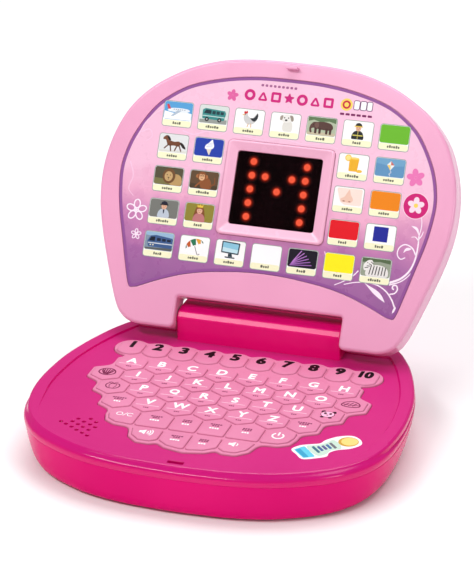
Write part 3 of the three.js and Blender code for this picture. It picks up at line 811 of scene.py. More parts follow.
def glyph(text, height, bold=0.0, wide=1.0):
    """Outlines of built-in lettering, centred, in mm: outer loops and holes, thickened by bold mm."""
    key = (text, height, bold, wide)
    if key in _glyphs:
        return _glyphs[key]
    cu = bpy.data.curves.new("glyph", "FONT")
    cu.body, cu.size = text, 1.0
    cu.resolution_u = 4
    o = bpy.data.objects.new("glyph", cu)
    SCENE.collection.objects.link(o)
    bpy.context.view_layer.update()
    me = bpy.data.meshes.new_from_object(o.evaluated_get(bpy.context.evaluated_depsgraph_get()))
    bm = bmesh.new()
    bm.from_mesh(me)
    bmesh.ops.remove_doubles(bm, verts=bm.verts, dist=1e-4)
    pts = np.array([(v.co.x, v.co.y) for v in bm.verts])
    bm.verts.index_update()
    nxt = {}
    for f in bm.faces:
        vs = [v.index for v in f.verts]
        if area(pts[vs]) < 0:
            vs.reverse()
        for a, b in zip(vs, vs[1:] + vs[:1]):
            nxt.setdefault(a, set()).add(b)
    for a in list(nxt):
        for b in list(nxt[a]):
            if b in nxt and a in nxt[b]:
                nxt[a].discard(b)
                nxt[b].discard(a)
    bm.free()
    bpy.data.objects.remove(o)
    bpy.data.meshes.remove(me)
    bpy.data.curves.remove(cu)
    loops = []
    for start in sorted(nxt):
        while nxt[start]:
            loop, a = [start], nxt[start].pop()
            while a != start:
                loop.append(a)
                a = nxt[a].pop()
            loops.append(pts[loop])
    lo, hi = pts.min(0), pts.max(0)
    k = (height - 2 * bold) / (hi[1] - lo[1])
    _glyphs[key] = thicken([(l - (lo + hi) / 2) * (k * wide, k) for l in loops], bold)
    return _glyphs[key]


def thicken(loops, bold, cell=0.17):
    """Grows filled outlines by bold mm: the level line of the distance to them, found cell by cell on a fine grid."""
    allp = np.vstack(loops)
    lo, hi = allp.min(0) - bold - 2.3 * cell, allp.max(0) + bold + 2.3 * cell
    nx, ny = int((hi[0] - lo[0]) / cell) + 2, int((hi[1] - lo[1]) / cell) + 2
    X, Y = np.meshgrid(lo[0] + cell * np.arange(nx), lo[1] + cell * np.arange(ny), indexing="ij")
    P = np.stack([X.ravel(), Y.ravel()], 1)
    far, odd = np.full(len(P), 1e9), np.zeros(len(P), bool)
    for l in loops:
        d = poly_dist(P, l)
        far = np.minimum(far, np.abs(d))
        odd ^= d < 0
    F = (np.where(odd, -far, far) - bold).reshape(nx, ny)
    F[np.abs(F) < 1e-6] = 1e-6
    link = {}

    def cross(a, b):
        fa, fb = F[a], F[b]
        t = fa / (fa - fb)
        pa, pb = np.array([X[a], Y[a]]), np.array([X[b], Y[b]])
        return tuple(np.round(pa + (pb - pa) * t, 6))

    for i in range(nx - 1):
        for j in range(ny - 1):
            c = [(i, j), (i + 1, j), (i + 1, j + 1), (i, j + 1)]
            inside = [F[q] < 0 for q in c]
            if all(inside) or not any(inside):
                continue
            cuts = [(inside[m], cross(c[m], c[(m + 1) % 4])) for m in range(4) if inside[m] != inside[(m + 1) % 4]]
            # leaving the inside at one cut and coming back at the next keeps the filled part on the left
            for m in range(len(cuts)):
                if cuts[m][0]:
                    link[cuts[m][1]] = cuts[(m + 1) % len(cuts)][1]
    out = []
    while link:
        a, b = next(iter(link.items()))
        loop = [a]
        del link[a]
        while b != a and b in link:
            loop.append(b)
            b = link.pop(b)
        if len(loop) > 8:
            q = np.array(loop)
            q = resample(q, step=0.3)
            out.append(q)
    outer = [q for q in out]
    sign = [area(q) for q in outer]
    if sign and sign[int(np.argmax(np.abs(sign)))] < 0:
        outer = [q[::-1].copy() for q in outer]
    return outer


WHITE, BLACK_I, MAROON = (0.92, 0.92, 0.93), (0.005, 0.002, 0.004), srgb(112, 16, 66)
CROWN = 0.2


def crown_fn(cx, cy, rho, top=0.12, crown=CROWN):
    return lambda P: top + crown * (1 - ((np.asarray(P)[:, 0] - cx) ** 2 + (np.asarray(P)[:, 1] - cy) ** 2) / rho**2)


def key_body(g, outline, centre, rho, low, mat=0, fillet=0.75, crown=CROWN, top=0.12):
    """A soft-edged key: straight sides, a rounded edge and a slightly domed top."""
    p = ccw(outline)
    cx, cy = centre
    fn = crown_fn(cx, cy, rho, top, crown)
    sec = [(p, low)]
    for k in range(5):
        a = math.pi / 2 * k / 4
        q = inset(p, fillet * (1 - math.cos(a)))
        sec.append((q, fn(q) - fillet * (1 - math.sin(a))))
    edge = sec[-1][0]
    for t in (0.8, 0.55, 0.25):
        q = np.array([cx, cy]) + (edge - np.array([cx, cy])) * t
        sec.append((q, fn(q)))
    g.loft(sec, mat)
    return fn


def lay(g, fn, loops, dx, dy, ink_colour, mat=1, rise=0.05):
    """Lettering laid on a domed top: each outer loop with the holes that lie inside it."""
    outer = [refine(l, 0.6) + (dx, dy) for l in loops if area(l) > 0]
    inner = [refine(l, 0.6) + (dx, dy) for l in loops if area(l) < 0]
    for o in outer:
        g.plate(o, lambda q: fn(q) - 0.12, lambda q: fn(q) + rise, mat, ink_colour, [h for h in inner if poly_dist(h[:1], o)[0] < 0])


def lay_poly(g, fn, outline, ink_colour, mat=1, rise=0.05, holes=()):
    g.plate(refine(outline, 0.6), lambda q: fn(q) - 0.12, lambda q: fn(q) + rise, mat, ink_colour, [refine(h, 0.6) for h in holes])


def lay_line(g, fn, x0, x1, y, w, ink_colour, mat=1, rise=0.05):
    """A thin level line that follows the dome in short steps."""
    xs = np.linspace(x0, x1, 25)
    n = len(xs)
    pts = [(a, y - w / 2) for a in xs] + [(a, y + w / 2) for a in xs]
    quads = [(k, k + 1, n + k + 1, n + k) for k in range(n - 1)]
    g.flat(pts, quads, lambda q: fn(q) - 0.12, lambda q: fn(q) + rise, mat, ink_colour)


def capsule(x0, y0, x1, y1, w, n=8):
    """A straight stroke with round ends."""
    a, b = np.array([x0, y0], float), np.array([x1, y1], float)
    d = b - a
    t = math.atan2(d[1], d[0])
    pts = [b + w / 2 * np.array([math.cos(t - math.pi / 2 + math.pi * k / n), math.sin(t - math.pi / 2 + math.pi * k / n)]) for k in range(n + 1)]
    pts += [a + w / 2 * np.array([math.cos(t + math.pi / 2 + math.pi * k / n), math.sin(t + math.pi / 2 + math.pi * k / n)]) for k in range(n + 1)]
    return np.array(pts)


def arc_band(cx, cy, r, w, a0, a1, n=18):
    """Part of a ring, as one closed outline."""
    a = [math.radians(a0 + (a1 - a0) * k / n) for k in range(n + 1)]
    return np.array([(cx + (r + w / 2) * math.cos(t), cy + (r + w / 2) * math.sin(t)) for t in a] + [(cx + (r - w / 2) * math.cos(t), cy + (r - w / 2) * math.sin(t)) for t in reversed(a)])


KEY_LOW = -2.6
for ch, x, y in LETTERS:
    g = Geo()
    fn = key_body(g, hexagon(x, y, 16.95, 1.7, 5), (x, y), 9.8, KEY_LOW)
    lay(g, fn, glyph(ch, 6.5, 0.3), x, y + 2.1, WHITE)
    lay_line(g, fn, x - 6.7, x + 6.7, y - 2.5, 0.32, (0.95, 0.72, 0.84), rise=0.045)
    for k in range(3):
        lay_poly(g, fn, rect(x - 1.55 + 1.1 * k, x - 0.7 + 1.1 * k, y - 5.6, y - 4.8, 0.2, 2), MAROON)
    place(g.mesh("key_print_" + ch), "silicone_key_" + ch, "key_" + ch, [SILICONE, KEY_INK], ["key_" + ch])

for i in range(10):
    x = num_x(i)
    name = "key_%d" % (i + 1)
    g = Geo()
    fn = key_body(g, number_cell(i, 0.08), (x, NUM_Y), 9.2, KEY_LOW, crown=0.36, top=0.1, fillet=0.85)
    lay(g, fn, glyph(str(i + 1), 8.9, 0.62, 1.0 if i < 9 else 0.84), x, NUM_Y + 3.2, BLACK_I)
    place(g.mesh("n_" + name), "silicone_" + name, name, [SILICONE, KEY_INK], [name])


def centroid(c):
    p = resample(np.array(c, float), step=0.5)
    return p.mean(0)


odd_in = lambda c: round_poly(inset(ccw(c), 0.53), 1.5, 5)
# power: an open ring with a stroke through its gap
g = Geo()
cx, cy = centroid(POWER)
fn = key_body(g, odd_in(POWER), (cx, cy), 14, KEY_LOW)
lay_poly(g, fn, arc_band(cx + 0.3, cy - 0.4, 3.1, 0.95, 125, 415, 26), WHITE)
lay_poly(g, fn, capsule(cx + 0.3, cy + 0.4, cx + 0.3, cy + 3.6, 0.95), WHITE)
place(g.mesh("power"), "silicone_key_power", "key_power", [SILICONE, KEY_INK], ["key_power"])


def sound_marks(g, fn, cx, cy, waves):
    lay_poly(g, fn, np.array([(cx - 3.4, cy - 1.1), (cx - 1.9, cy - 1.1), (cx + 0.2, cy - 2.7), (cx + 0.2, cy + 2.7), (cx - 1.9, cy + 1.1), (cx - 3.4, cy + 1.1)]), WHITE)
    for k in range(waves):
        lay_poly(g, fn, arc_band(cx - 0.4, cy, 2.1 + 1.35 * k, 0.6, -42, 42, 10), WHITE)


for c, name, waves in ((VOL_UP, "key_volume_up", 3), (VOL_DOWN, "key_volume_down", 1)):
    g = Geo()
    cx, cy = centroid(c)
    fn = key_body(g, odd_in(c), (cx, cy), 15, KEY_LOW)
    sound_marks(g, fn, cx - 0.6, cy + 0.3, waves)
    place(g.mesh("m_" + name), "silicone_" + name, name, [SILICONE, KEY_INK], [name])

# ------------------------------------------------------------------ the silicone mat with its pockets and the keys that are part of it
FLANGE = ccw(round_poly(mirrored([(0, -136.5), (20, -134), (38, -128), (42, -117), (58, -111), (61, -98), (70, -91), (80, -72), (88, -58), (88, -44), (80, -34), (85, -16), (78, -2), (0, -2)]), 3, 4))
mat_me = Geo().loft([(FLANGE, -6.2), (FLANGE, -4.45)]).mesh("flange")
mat_me = cut(mat_me, rod(-64.2, -117.4, 15, -7, -4, 40))
lip = [(LIP, -5.0), (LIP, -1.45)]
for k in range(1, 7):
    a = math.pi / 2 * k / 6
    lip.append((inset(LIP, 0.95 * (1 - math.cos(a))), -1.45 + 0.95 * math.sin(a) - 0.0))
lip.append((inset(LIP, 1.6), -0.5))
lip.append((inset(LIP, 2.3), -0.62))
mat_me = join(mat_me, Geo().loft(lip))
pockets = Geo()
for _, x, y in LETTERS:
    pockets.loft([(hexagon(x, y, 17.35, 1.7, 5), -4.2), (hexagon(x, y, 17.35, 1.7, 5), 2)])
for i in range(10):
    pockets.loft([(number_cell(i, 0.28), -4.2), (number_cell(i, 0.28), 2)])
for c in (POWER, VOL_DOWN, VOL_UP):
    p = round_poly(inset(ccw(c), 0.33), 1.7, 5)
    pockets.loft([(p, -4.2), (p, 2)])
for x, y in PICTURES:
    pockets.loft([(hexagon(x, y, 17.35, 1.7, 5), -1.9), (hexagon(x, y, 17.35, 1.7, 5), 2)])
for c in (MENU, *MODES):
    p = round_poly(inset(ccw(c), 0.33), 1.7, 5)
    pockets.loft([(p, -1.9), (p, 2)])
mat_me = cut(mat_me, pockets)
place(mat_me, "silicone_mat", "base", [SILICONE], ["keypad_mat"], 40)

isl = Geo()
PIC_FN = {}
for k, (x, y) in enumerate(PICTURES):
    PIC_FN[k] = (key_body(isl, hexagon(x, y, 16.95, 1.7, 5), (x, y), 9.8, -2.4), x, y)
MODE_FN = []
for c in (MENU, *MODES):
    cx, cy = centroid(c)
    MODE_FN.append((key_body(isl, odd_in(c), (cx, cy), 14.5, -2.4), cx, cy))

def stroke(fn, pts, w=0.42, colour=MAROON, rise=0.05, closed=False):
    """A drawn line of even width with round-ish ends."""
    p = resample(catmull(pts, closed=closed, fine=8), step=0.6, closed=closed)
    if closed:
        o = inset(ccw(p), -w / 2)
        lay_poly(isl, fn, o, colour, rise=rise, holes=[inset(ccw(p), w / 2)])
        return
    d = np.gradient(p, axis=0)
    d /= np.linalg.norm(d, axis=1, keepdims=True)
    nrm = np.stack([-d[:, 1], d[:, 0]], 1) * w / 2
    lay_poly(isl, fn, ccw(np.vstack([p + nrm, (p - nrm)[::-1]])), colour, rise=rise)


fn, x, y = PIC_FN[0]  # a fan-shaped shell
stroke(fn, [(x - 4.6, y - 1.4), (x - 4.2, y + 2.0), (x - 1.8, y + 4.0), (x + 1.8, y + 4.0), (x + 4.2, y + 2.0), (x + 4.6, y - 1.4), (x + 1.4, y - 3.8), (x - 1.4, y - 3.8)], 0.75, closed=True)
for t in np.linspace(-0.95, 0.95, 6):
    stroke(fn, [(x + 1.0 * math.sin(t), y - 3.2), (x + 3.4 * math.sin(t), y), (x + 4.0 * math.sin(t), y + 1.4 + 1.9 * math.cos(t))], 0.7, rise=0.06)
fn, x, y = PIC_FN[1]  # a round loaf with folds
stroke(fn, [(x - 5.2, y - 1.6), (x - 4.0, y + 1.8), (x, y + 3.6), (x + 4.0, y + 1.8), (x + 5.2, y - 1.6), (x + 2.4, y - 3.2), (x - 2.4, y - 3.2)], 0.7, closed=True)
for k in (-1, 0, 1):
    stroke(fn, [(x + 2.4 * k - 1.0, y - 2.0), (x + 2.2 * k, y + 0.4), (x + 2.2 * k + 0.9, y + 2.0 - 0.5 * abs(k))], 0.6, rise=0.06)
stroke(fn, [(x - 4.6, y - 0.4), (x, y - 1.2), (x + 4.6, y - 0.4)], 0.45, rise=0.07)
fn, x, y = PIC_FN[2]  # a ribbed fruit with a leaf
stroke(fn, [(x - 4.0, y - 0.6), (x - 3.0, y + 2.2), (x, y + 2.0), (x + 3.0, y + 2.2), (x + 4.0, y - 0.6), (x + 2.2, y - 3.4), (x - 2.2, y - 3.4)], 0.6, closed=True)
stroke(fn, [(x - 1.4, y + 1.8), (x - 2.0, y - 0.4), (x - 1.2, y - 3.0)], 0.36, rise=0.06)
stroke(fn, [(x + 1.4, y + 1.8), (x + 2.0, y - 0.4), (x + 1.2, y - 3.0)], 0.36, rise=0.06)
stroke(fn, [(x, y + 2.2), (x + 0.4, y + 3.4), (x + 1.8, y + 4.4)], 0.42, rise=0.06)
stroke(fn, [(x - 0.4, y + 2.6), (x - 2.0, y + 3.8), (x - 3.4, y + 3.0)], 0.42, rise=0.06)
fn, x, y = PIC_FN[3]  # a plain bear face
DARK_I = srgb(52, 8, 34)
lay_poly(isl, fn, circle(x - 3.0, y + 3.0, 1.35, 18), DARK_I, rise=0.045)
lay_poly(isl, fn, circle(x + 3.0, y + 3.0, 1.35, 18), DARK_I, rise=0.045)
lay_poly(isl, fn, circle(x, y + 0.2, 3.9, 32, 3.5), srgb(250, 186, 216), rise=0.055, holes=[])
stroke(fn, [(x - 3.9, y + 0.2), (x - 2.0, y + 3.2), (x + 2.0, y + 3.2), (x + 3.9, y + 0.2), (x + 2.0, y - 3.0), (x - 2.0, y - 3.0)], 0.34, closed=True, rise=0.065)
lay_poly(isl, fn, circle(x - 1.5, y + 0.9, 0.85, 14, 1.05), DARK_I, rise=0.07)
lay_poly(isl, fn, circle(x + 1.5, y + 0.9, 0.85, 14, 1.05), DARK_I, rise=0.07)
lay_poly(isl, fn, circle(x, y - 0.9, 0.65, 12, 0.45), DARK_I, rise=0.07)
lay_poly(isl, fn, circle(x - 2.3, y - 3.6, 1.1, 14, 0.8), DARK_I, rise=0.07)
lay_poly(isl, fn, circle(x + 2.3, y - 3.6, 1.1, 14, 0.8), DARK_I, rise=0.07)


def word(fn, x, y, widths, h, colour, gap=0.32):
    """A row of short bars, where a word would be."""
    total = sum(widths) + gap * (len(widths) - 1)
    x0 = x - total / 2
    for w in widths:
        lay_poly(isl, fn, rect(x0, x0 + w, y - h / 2, y + h / 2, min(w, h) * 0.25, 2), colour)
        x0 += w + gap


GREYP = srgb(122, 40, 84)
for k in (4, 5):
    fn, x, y = PIC_FN[k]
    word(fn, x, y + 2.2, (1.2, 0.8, 1.3, 1.0, 1.2, 0.9), 1.15, GREYP)
    word(fn, x, y + 0.4, (1.1, 1.3, 0.8, 1.2), 1.15, GREYP)
    word(fn, x, y - 2.4, (1.0, 1.3, 0.9), 1.3, WHITE)
for k, (fn, x, y) in enumerate(MODE_FN):
    if k:
        up = 1.6 if k < 5 else 0.6
        word(fn, x, y + up + 2.1, ((1.1, 0.8, 1.3, 1.0), (1.3, 0.9, 1.1, 0.8, 1.2))[k % 2], 1.15, GREYP)
        word(fn, x, y + up + 0.4, ((1.2, 0.9, 1.2), (0.9, 1.3, 1.0, 1.1))[(k + 1) % 2], 1.15, GREYP)
        word(fn, x, y + up - 2.6, ((1.3, 1.0, 1.2), (1.1, 1.3, 0.9, 1.1))[k % 2], 1.4, WHITE)
    else:
        lay_poly(isl, fn, arc_band(x - 3.0, y + 0.4, 1.7, 0.5, 0, 359, 24), WHITE)
        lay_poly(isl, fn, capsule(x - 0.6, y - 1.4, x + 1.0, y + 2.2, 0.45), WHITE)
        lay_poly(isl, fn, arc_band(x + 3.2, y + 0.4, 1.7, 0.5, 40, 320, 20), WHITE)
place(isl.mesh("fixed_keys"), "silicone_fixed_keys", "base", [SILICONE, KEY_INK])

# ------------------------------------------------------------------ bottom case
CASE_SCREWS = [(70, 8), (-70, 8), (50, -130), (-50, -130)]
prof = np.array([(12.5, 8, -30.5), (11.4, 6.4, -30.35), (9.6, 4.2, -29.7), (8.3, 2.9, -28.9), (7.2, 2.0, -28), (5.7, 1.45, -26.2), (4.6, 1.1, -24), (3.5, 0.92, -21), (2.6, 0.8, -18), (1.7, 0.62, -14), (0.9, 0.46, -10.2), (0.62, 0.34, -9.0), (0.68, 0.36, -8.72), (0.95, 0.44, -8.56)])
me = Geo().loft([(wall(a, b), z) for a, b, z in prof]).mesh("case")
me = cut(me, Geo().loft([(wall(12.2, 7.4), -28.3), (wall(7.6, 3.6), -25), (wall(5, 3), -18), (wall(2.9, 2.7), PARTING + 2)]))
me = join(me, box(-37, 37, -88, -23, -28.6, -26.2))
me = join(me, box(-31.3, 31.3, -81, -31, -28.6, -11.6))
me = cut(me, box(-29.6, 29.6, -79.2, -32.8, -32, -13.2))
me = cut(me, box(-34.3, 34.3, -84.3, -27.7, -32, -28.1, 2.2))
for x in (-20, 20):
    me = cut(me, box(x - 4.6, x + 4.6, -28, -24.6, -32, -27.3))
me = cut(me, rod(0, -81.6, 1.5, -29, -25.5))
for x, y in CASE_SCREWS:
    me = cut(me, rod(x, y, 3.3, -32, -29.2, 32))
    me = cut(me, rod(x, y, 1.7, -32, -25))
case = place(me, "bottom_case", "base", [MAGENTA, INSIDE], ["base_bottom_case"], 32)

# ------------------------------------------------------------------ top deck, with the hinge block across its back
RIM_UP = smooth(EDGE[:, 1], -132, -84)
R_ = RIM_UP
ROUND = smooth(-EDGE[:, 1], 70, 118)
wall_in = lambda a, b: a + (b - a) * FRONT - LEDGE
# each row: inset and height where the rim stands on a step, then inset and height at the front, where it rolls over into the wall
rows = [
    (wall_in(0.95, 0.8), PARTING + 0.16, wall_in(0.46, 0.46), PARTING - 0.1), (wall_in(0.68, 0.5), PARTING + 0.32, wall_in(0.37, 0.37), PARTING + 0.02),
    (wall_in(0.6, 0.4), PARTING + 0.6, wall_in(0.34, 0.34), PARTING + 0.3), (wall_in(0.3, 0.2), -6.6, wall_in(0.15, 0.15), -6.9),
    (wall_in(0.12, 0.06), -5.5, wall_in(0.1, 0.1), -6.1), (wall_in(0.2, 0.12), -5.0, wall_in(0.2, 0.2), -5.3),
    (wall_in(0.45, 0.36), -4.68, wall_in(0.5, 0.5), -4.6), (wall_in(0.85, 0.72), -4.5, wall_in(0.95, 0.95), -4.0),
    (0.55, -4.42, -0.5 * LEDGE, -3.45), (0.35, -4.2, -0.28 * LEDGE, -3.0), (0.2, -3.4, -0.1 * LEDGE, -2.6), (0.2, -2.3 + 0.4 * R_, 0.1, -2.25),
    (0.32, -1.98 + 0.63 * R_, 0.35, -1.98), (0.62, -1.76 + 0.84 * R_, 0.7, -1.78), (1.1, -1.62 + 1.04 * R_, 1.2, -1.65), (1.75, -1.54 + 1.17 * R_, 1.8, -1.56),
    (2.6, -1.5 + 1.2 * R_, 2.6, -1.5), (5.2, -1.5 + 1.2 * R_, 5.2, -1.5), (8.9, -1.5 + 1.2 * R_, 8.9, -1.5), (12.5, RIM_TOP, 12.5, RIM_TOP),
]
one = np.ones(len(EDGE))
outer = [(inset(EDGE, a * (1 - ROUND) * one + c * ROUND * one), b * (1 - ROUND) * one + d * ROUND * one) for a, b, c, d in rows]
me = Geo().loft(outer).mesh("deck")
me = cut(me, Geo().loft([(wall(4.2, 4), PARTING - 1), (inset(EDGE, 3.6), DECK_UNDER)]))
REC = inset(EDGE, 2.75 + 5.75 * RIM_UP)


def recess(grow):
    p = inset(REC, -grow)
    return np.stack([p[:, 0], np.minimum(p[:, 1], 14 + grow)], 1)


me = cut(me, Geo().loft([(recess(-0.75), DECK_Z), (recess(-0.38), DECK_Z + 0.08), (recess(-0.12), DECK_Z + 0.28), (recess(0), DECK_Z + 0.6), (recess(0.0), RIM_TOP - 0.45), (recess(0.12), RIM_TOP - 0.2), (recess(0.4), RIM_TOP - 0.02), (recess(0.5), 3)]))
profile = ccw(round_poly([(3.2, -3.5), (3.2, 12.9), (5.65, 15.93), (10.5, 16.8), (24.5, 16.5), (30.6, 13.0), (32.2, 5), (32.4, -3.5)], [0, 1.6, 2.0, 6, 7, 6, 6, 0], 8))
stations = []
for k in range(6):
    a = math.pi / 2 * k / 5
    stations.append((-49.3 + 0.9 * (1 - math.cos(a)), 0.9 * (1 - math.sin(a))))
st = [(x, inset(profile, d)) for x, d in stations] + [(-x, inset(profile, d)) for x, d in reversed(stations)]
me = join(me, along_x(profile, st))
hollow = ccw([(4.8, -9), (4.8, 12), (7, 14.2), (23, 14.2), (26, 13.4), (28, 11.6), (29.6, 8.6), (30, 3.8), (28.8, -9)])
me = cut(me, along_x(hollow, [(-46.3, hollow), (46.3, hollow)]))
for sx in (-1, 1):
    c = circle(HINGE_Y, HINGE_Z, 2.7, 32)
    a, b = sorted((57 * sx, 48.3 * sx))
    me = join(me, along_x(c, [(a, c), (b, c)]))
    c = circle(HINGE_Y, HINGE_Z, 1.7, 24)
    a, b = sorted((60 * sx, 40 * sx))
    me = cut(me, along_x(c, [(a, c), (b, c)]))
gap = inset(LIP, -0.35)
me = cut(me, Geo().loft([(gap, -6.5), (gap, 3)]))
HOLES = [(-76.3, -115.7), (-72.6, -117.8), (-70.2, -113.9), (-68.2, -110), (-66.1, -116.4), (-68.4, -120.3), (-64, -112.6), (-61.5, -108.2), (-57.4, -111.2), (-59.6, -114.7), (-62.3, -118.7), (-64.5, -123), (-55.8, -117.1), (-58.1, -121.2), (-60.3, -125.5), (-56.5, -127.9)]
hg = Geo()
for x, y in HOLES:
    hg.loft([(circle(x, y, 1.1, 20), -6), (circle(x, y, 1.1, 20), DECK_Z - 0.25), (circle(x, y, 1.32, 20), DECK_Z - 0.03), (circle(x, y, 1.5, 20), DECK_Z + 0.3)])
me = cut(me, hg)
sl = rect(-4.5, 4.5, -145.6, -142.4, 0.6, 4)
me = cut(me, Geo().loft([(sl, -6), (sl, DECK_Z - 0.3), (inset(sl, -0.3), DECK_Z), (inset(sl, -0.3), 2)]))
for x, y in CASE_SCREWS:
    me = join(me, rod(x, y, 3.4, -27.9, DECK_UNDER + 0.5))
    me = cut(me, rod(x, y, 1.55, -29, -14, 16))
place(me, "top_deck", "base", [DECK_GLOSS, DECK, BLOCK_TOP, BLOCK], ["base_top_deck"], 32)
for p in me.polygons:
    c = p.center
    if DECK_Z - 0.05 < c.z * 1000 - BASE_H < RIM_TOP + 0.05 and p.normal.z > 0.97:
        p.material_index = 1
    if c.z * 1000 - BASE_H > RIM_TOP + 0.3:
        p.material_index = 3
    if c.z * 1000 - BASE_H > 11 and c.y * 1000 - Y_SHIFT > 8.5 and p.normal.z > 0.3:
        p.material_index = 2

# ------------------------------------------------------------------ lid
LID_SIDE = [(52, 10.3), (66, 10.3), (74, 10.6), (79.5, 12.6), (84, 16.5), (87.4, 22.5), (90.4, 30), (94, 40), (97.4, 50), (100.6, 60), (103.4, 70), (105.4, 80), (106.4, 91), (106.2, 101), (104.6, 112), (101.8, 122), (97, 133), (91, 141.6), (83, 149.6), (74, 156), (64, 161.6), (54, 165.6), (42, 169), (30, 170.8), (15, 171.8), (0, 172)]
side = catmull(LID_SIDE, closed=False)
half_top = resample(side[:-1], n=118, closed=False)
arc_r = half_top
arc_l = half_top[::-1] * (-1, 1)
crest = np.vstack([arc_r, [(0, 172)], arc_l])
notch = round_poly([(-60, 10.3), (-49.8, 10.3), (-49.8, 29), (49.8, 29), (49.8, 10.3), (60, 10.3), (0, -60)], [0, 3.2, 1.6, 1.6, 3.2, 0, 0], 7)
notch = np.array([q for q in notch if q[1] > 0 and abs(q[0]) < 59])
dense = [notch[0]]
for a, b in zip(notch[:-1], notch[1:]):
    m = max(1, int(np.linalg.norm(b - a) / 4))
    dense += [a + (b - a) * k / m for k in range(1, m + 1)]
notch = np.array(dense)
LIDO = ccw(np.vstack([crest[2:-2], notch]))
DEPTH_FRONT, DEPTH_SPLIT, DEPTH_BACK = 8.52, -4.0, -7.6


def rounded_slab(outline, d0, d1, r0, r1, seg=6, mid=()):
    """Loft from depth d0 to d1 (rising towards the front) with rounded edges r0 at d0 and r1 at d1."""
    sec = []
    if r0 > 0:
        for k in range(seg + 1):
            a = math.pi / 2 * k / seg
            sec.append((inset(outline, r0 * (1 - math.sin(a))), d0 + r0 * (1 - math.cos(a))))
    else:
        sec.append((outline, d0))
    for d, i in mid:
        sec.append((inset(outline, i), d))
    if r1 > 0:
        for k in range(seg + 1):
            a = math.pi / 2 * k / seg
            sec.append((inset(outline, r1 * (1 - math.cos(a))), d1 - r1 * (1 - math.sin(a))))
    else:
        sec.append((outline, d1))
    return sec


SHEET_SIDE = [(40, 158), (60, 152), (72, 144.6), (80, 137), (90, 120), (94, 107), (95, 98), (94, 86), (92, 75), (88, 60), (84, 45), (80.8, 34), (79.4, 31)]
up = resample(catmull([(0, 161.5), (20, 160.9), *SHEET_SIDE], closed=False), n=110, closed=False)
low = resample(catmull([(79.4, 31), (77, 31.2), (64, 36.6), (50, 41.6), (36, 44.8), (25, 46.3), (12, 47.6), (0, 48)], closed=False), n=60, closed=False)
hs = np.vstack([up, low[1:]])
low = low[2:]
hs = np.vstack([up[:-1], round_poly([up[-2], (79.4, 31.0), low[0]], [0, 1.6, 0], 6)[1:-1], low[1:]])
SHEETO = ccw(np.vstack([hs, (hs[1:-1] * (-1, 1))[::-1]]))
FRAME_O = rect(-32.3, 32.3, 68, 123.5, 3.2, 8)
OPEN_O = rect(-25.65, 25.65, 74.47, 117.57, 1.6, 6)

me = Geo(lid_pt).loft(rounded_slab(LIDO, DEPTH_SPLIT + 0.02, DEPTH_FRONT, 0.25, 2.0, 8)).mesh("bezel")
cav = inset_clean(LIDO, 2.2, 2.0)
me = cut(me, Geo(lid_pt).loft([(cav, -20), (cav, DEPTH_FRONT - 2.2)]))
so = inset(SHEETO, -0.3)
ring = Geo(lid_pt).loft([(so, 7.5), (so, DEPTH_FRONT - 0.35), (inset(so, -0.12), DEPTH_FRONT - 0.12), (inset(so, -0.4), DEPTH_FRONT + 0.02), (inset(so, -0.45), 20)])
me = cut(me, ring)
fr = FRAME_O
fsec = [(inset(fr, -0.0), 6.0), (inset(fr, 0.0), DEPTH_FRONT + 0.2)]
for k in range(1, 7):
    a = math.pi / 2 * k / 6
    fsec.append((inset(fr, 1.0 * (1 - math.cos(a))), DEPTH_FRONT + 0.2 + 1.0 * math.sin(a)))
fsec.append((inset(fr, 1.9), DEPTH_FRONT + 1.2))
frame_me = Geo(lid_pt).loft(fsec)
me = join(me, frame_me)
op = OPEN_O
wide = lambda d: rect(-25.65 - d, 25.65 + d, 74.47 - d, 117.57 + d, 1.6, 6)
me = cut(me, Geo(lid_pt).loft([(op, 0), (op, DEPTH_FRONT + 0.05), (wide(0.2), DEPTH_FRONT + 0.28), (wide(4.3), DEPTH_FRONT + 1.08), (wide(4.9), DEPTH_FRONT + 1.21), (wide(5.0), 20)]))
wedge = Geo(lambda P: lid_pt(np.stack([P[..., 0], P[..., 1], P[..., 2]], -1)))
NOTCH_X = 49.0
wedge.v = [(x_, s_, d_) for x_, top_ in ((-NOTCH_X, 28.4), (-44.0, 30.05), (44.0, 30.05), (NOTCH_X, 28.4)) for s_, d_ in ((28.0, DEPTH_FRONT - 0.7), (min(29.0, top_ + 0.3), DEPTH_FRONT - 0.7), (top_, DEPTH_BACK - 1.0), (28.0, DEPTH_BACK - 1.0))]
wedge.f = [(3, 2, 1, 0), (12, 13, 14, 15)] + [(4 * k + a_, 4 * k + b_, 4 * k + 4 + b_, 4 * k + 4 + a_) for k in range(3) for a_, b_ in ((0, 1), (1, 2), (2, 3), (3, 0))]
wedge.m, wedge.c = [0] * len(wedge.f), [(1, 1, 1)] * 16
me = cut(me, wedge)
tab = rect(-3.5, 3.5, 167.2, 168.8, 0.4, 3)
me = join(me, Geo(lid_pt).loft([(tab, DEPTH_FRONT - 1), (tab, DEPTH_FRONT + 4.1), (inset(tab, 0.3), DEPTH_FRONT + 4.4)]))
for sx in (-1, 1):
    c = circle(0, 0, 3.0, 32)
    a, b = sorted((46 * sx, 54 * sx))
    bore = Geo(lambda P: lid_pt(np.stack([P[..., 0], P[..., 2] + AXIS_S, -P[..., 1]], -1)))
    n = len(c)
    bore.v = [(a, q[0], q[1]) for q in c] + [(b, q[0], q[1]) for q in c]
    bore.f = [(i, (i + 1) % n, n + (i + 1) % n, n + i) for i in range(n)] + [tuple(reversed(range(n))), tuple(range(n, 2 * n))]
    bore.m, bore.c = [0] * len(bore.f), [(1, 1, 1)] * len(bore.v)
    me = cut(me, bore)
place(me, "lid_front", "lid", [LIDP, FRAMEP], ["lid_front_bezel"], 32)
V = np.array([v.co[:] for v in me.vertices]) * 1000
dy, dz = V[:, 1] - Y_SHIFT - HINGE_Y, V[:, 2] - BASE_H - HINGE_Z
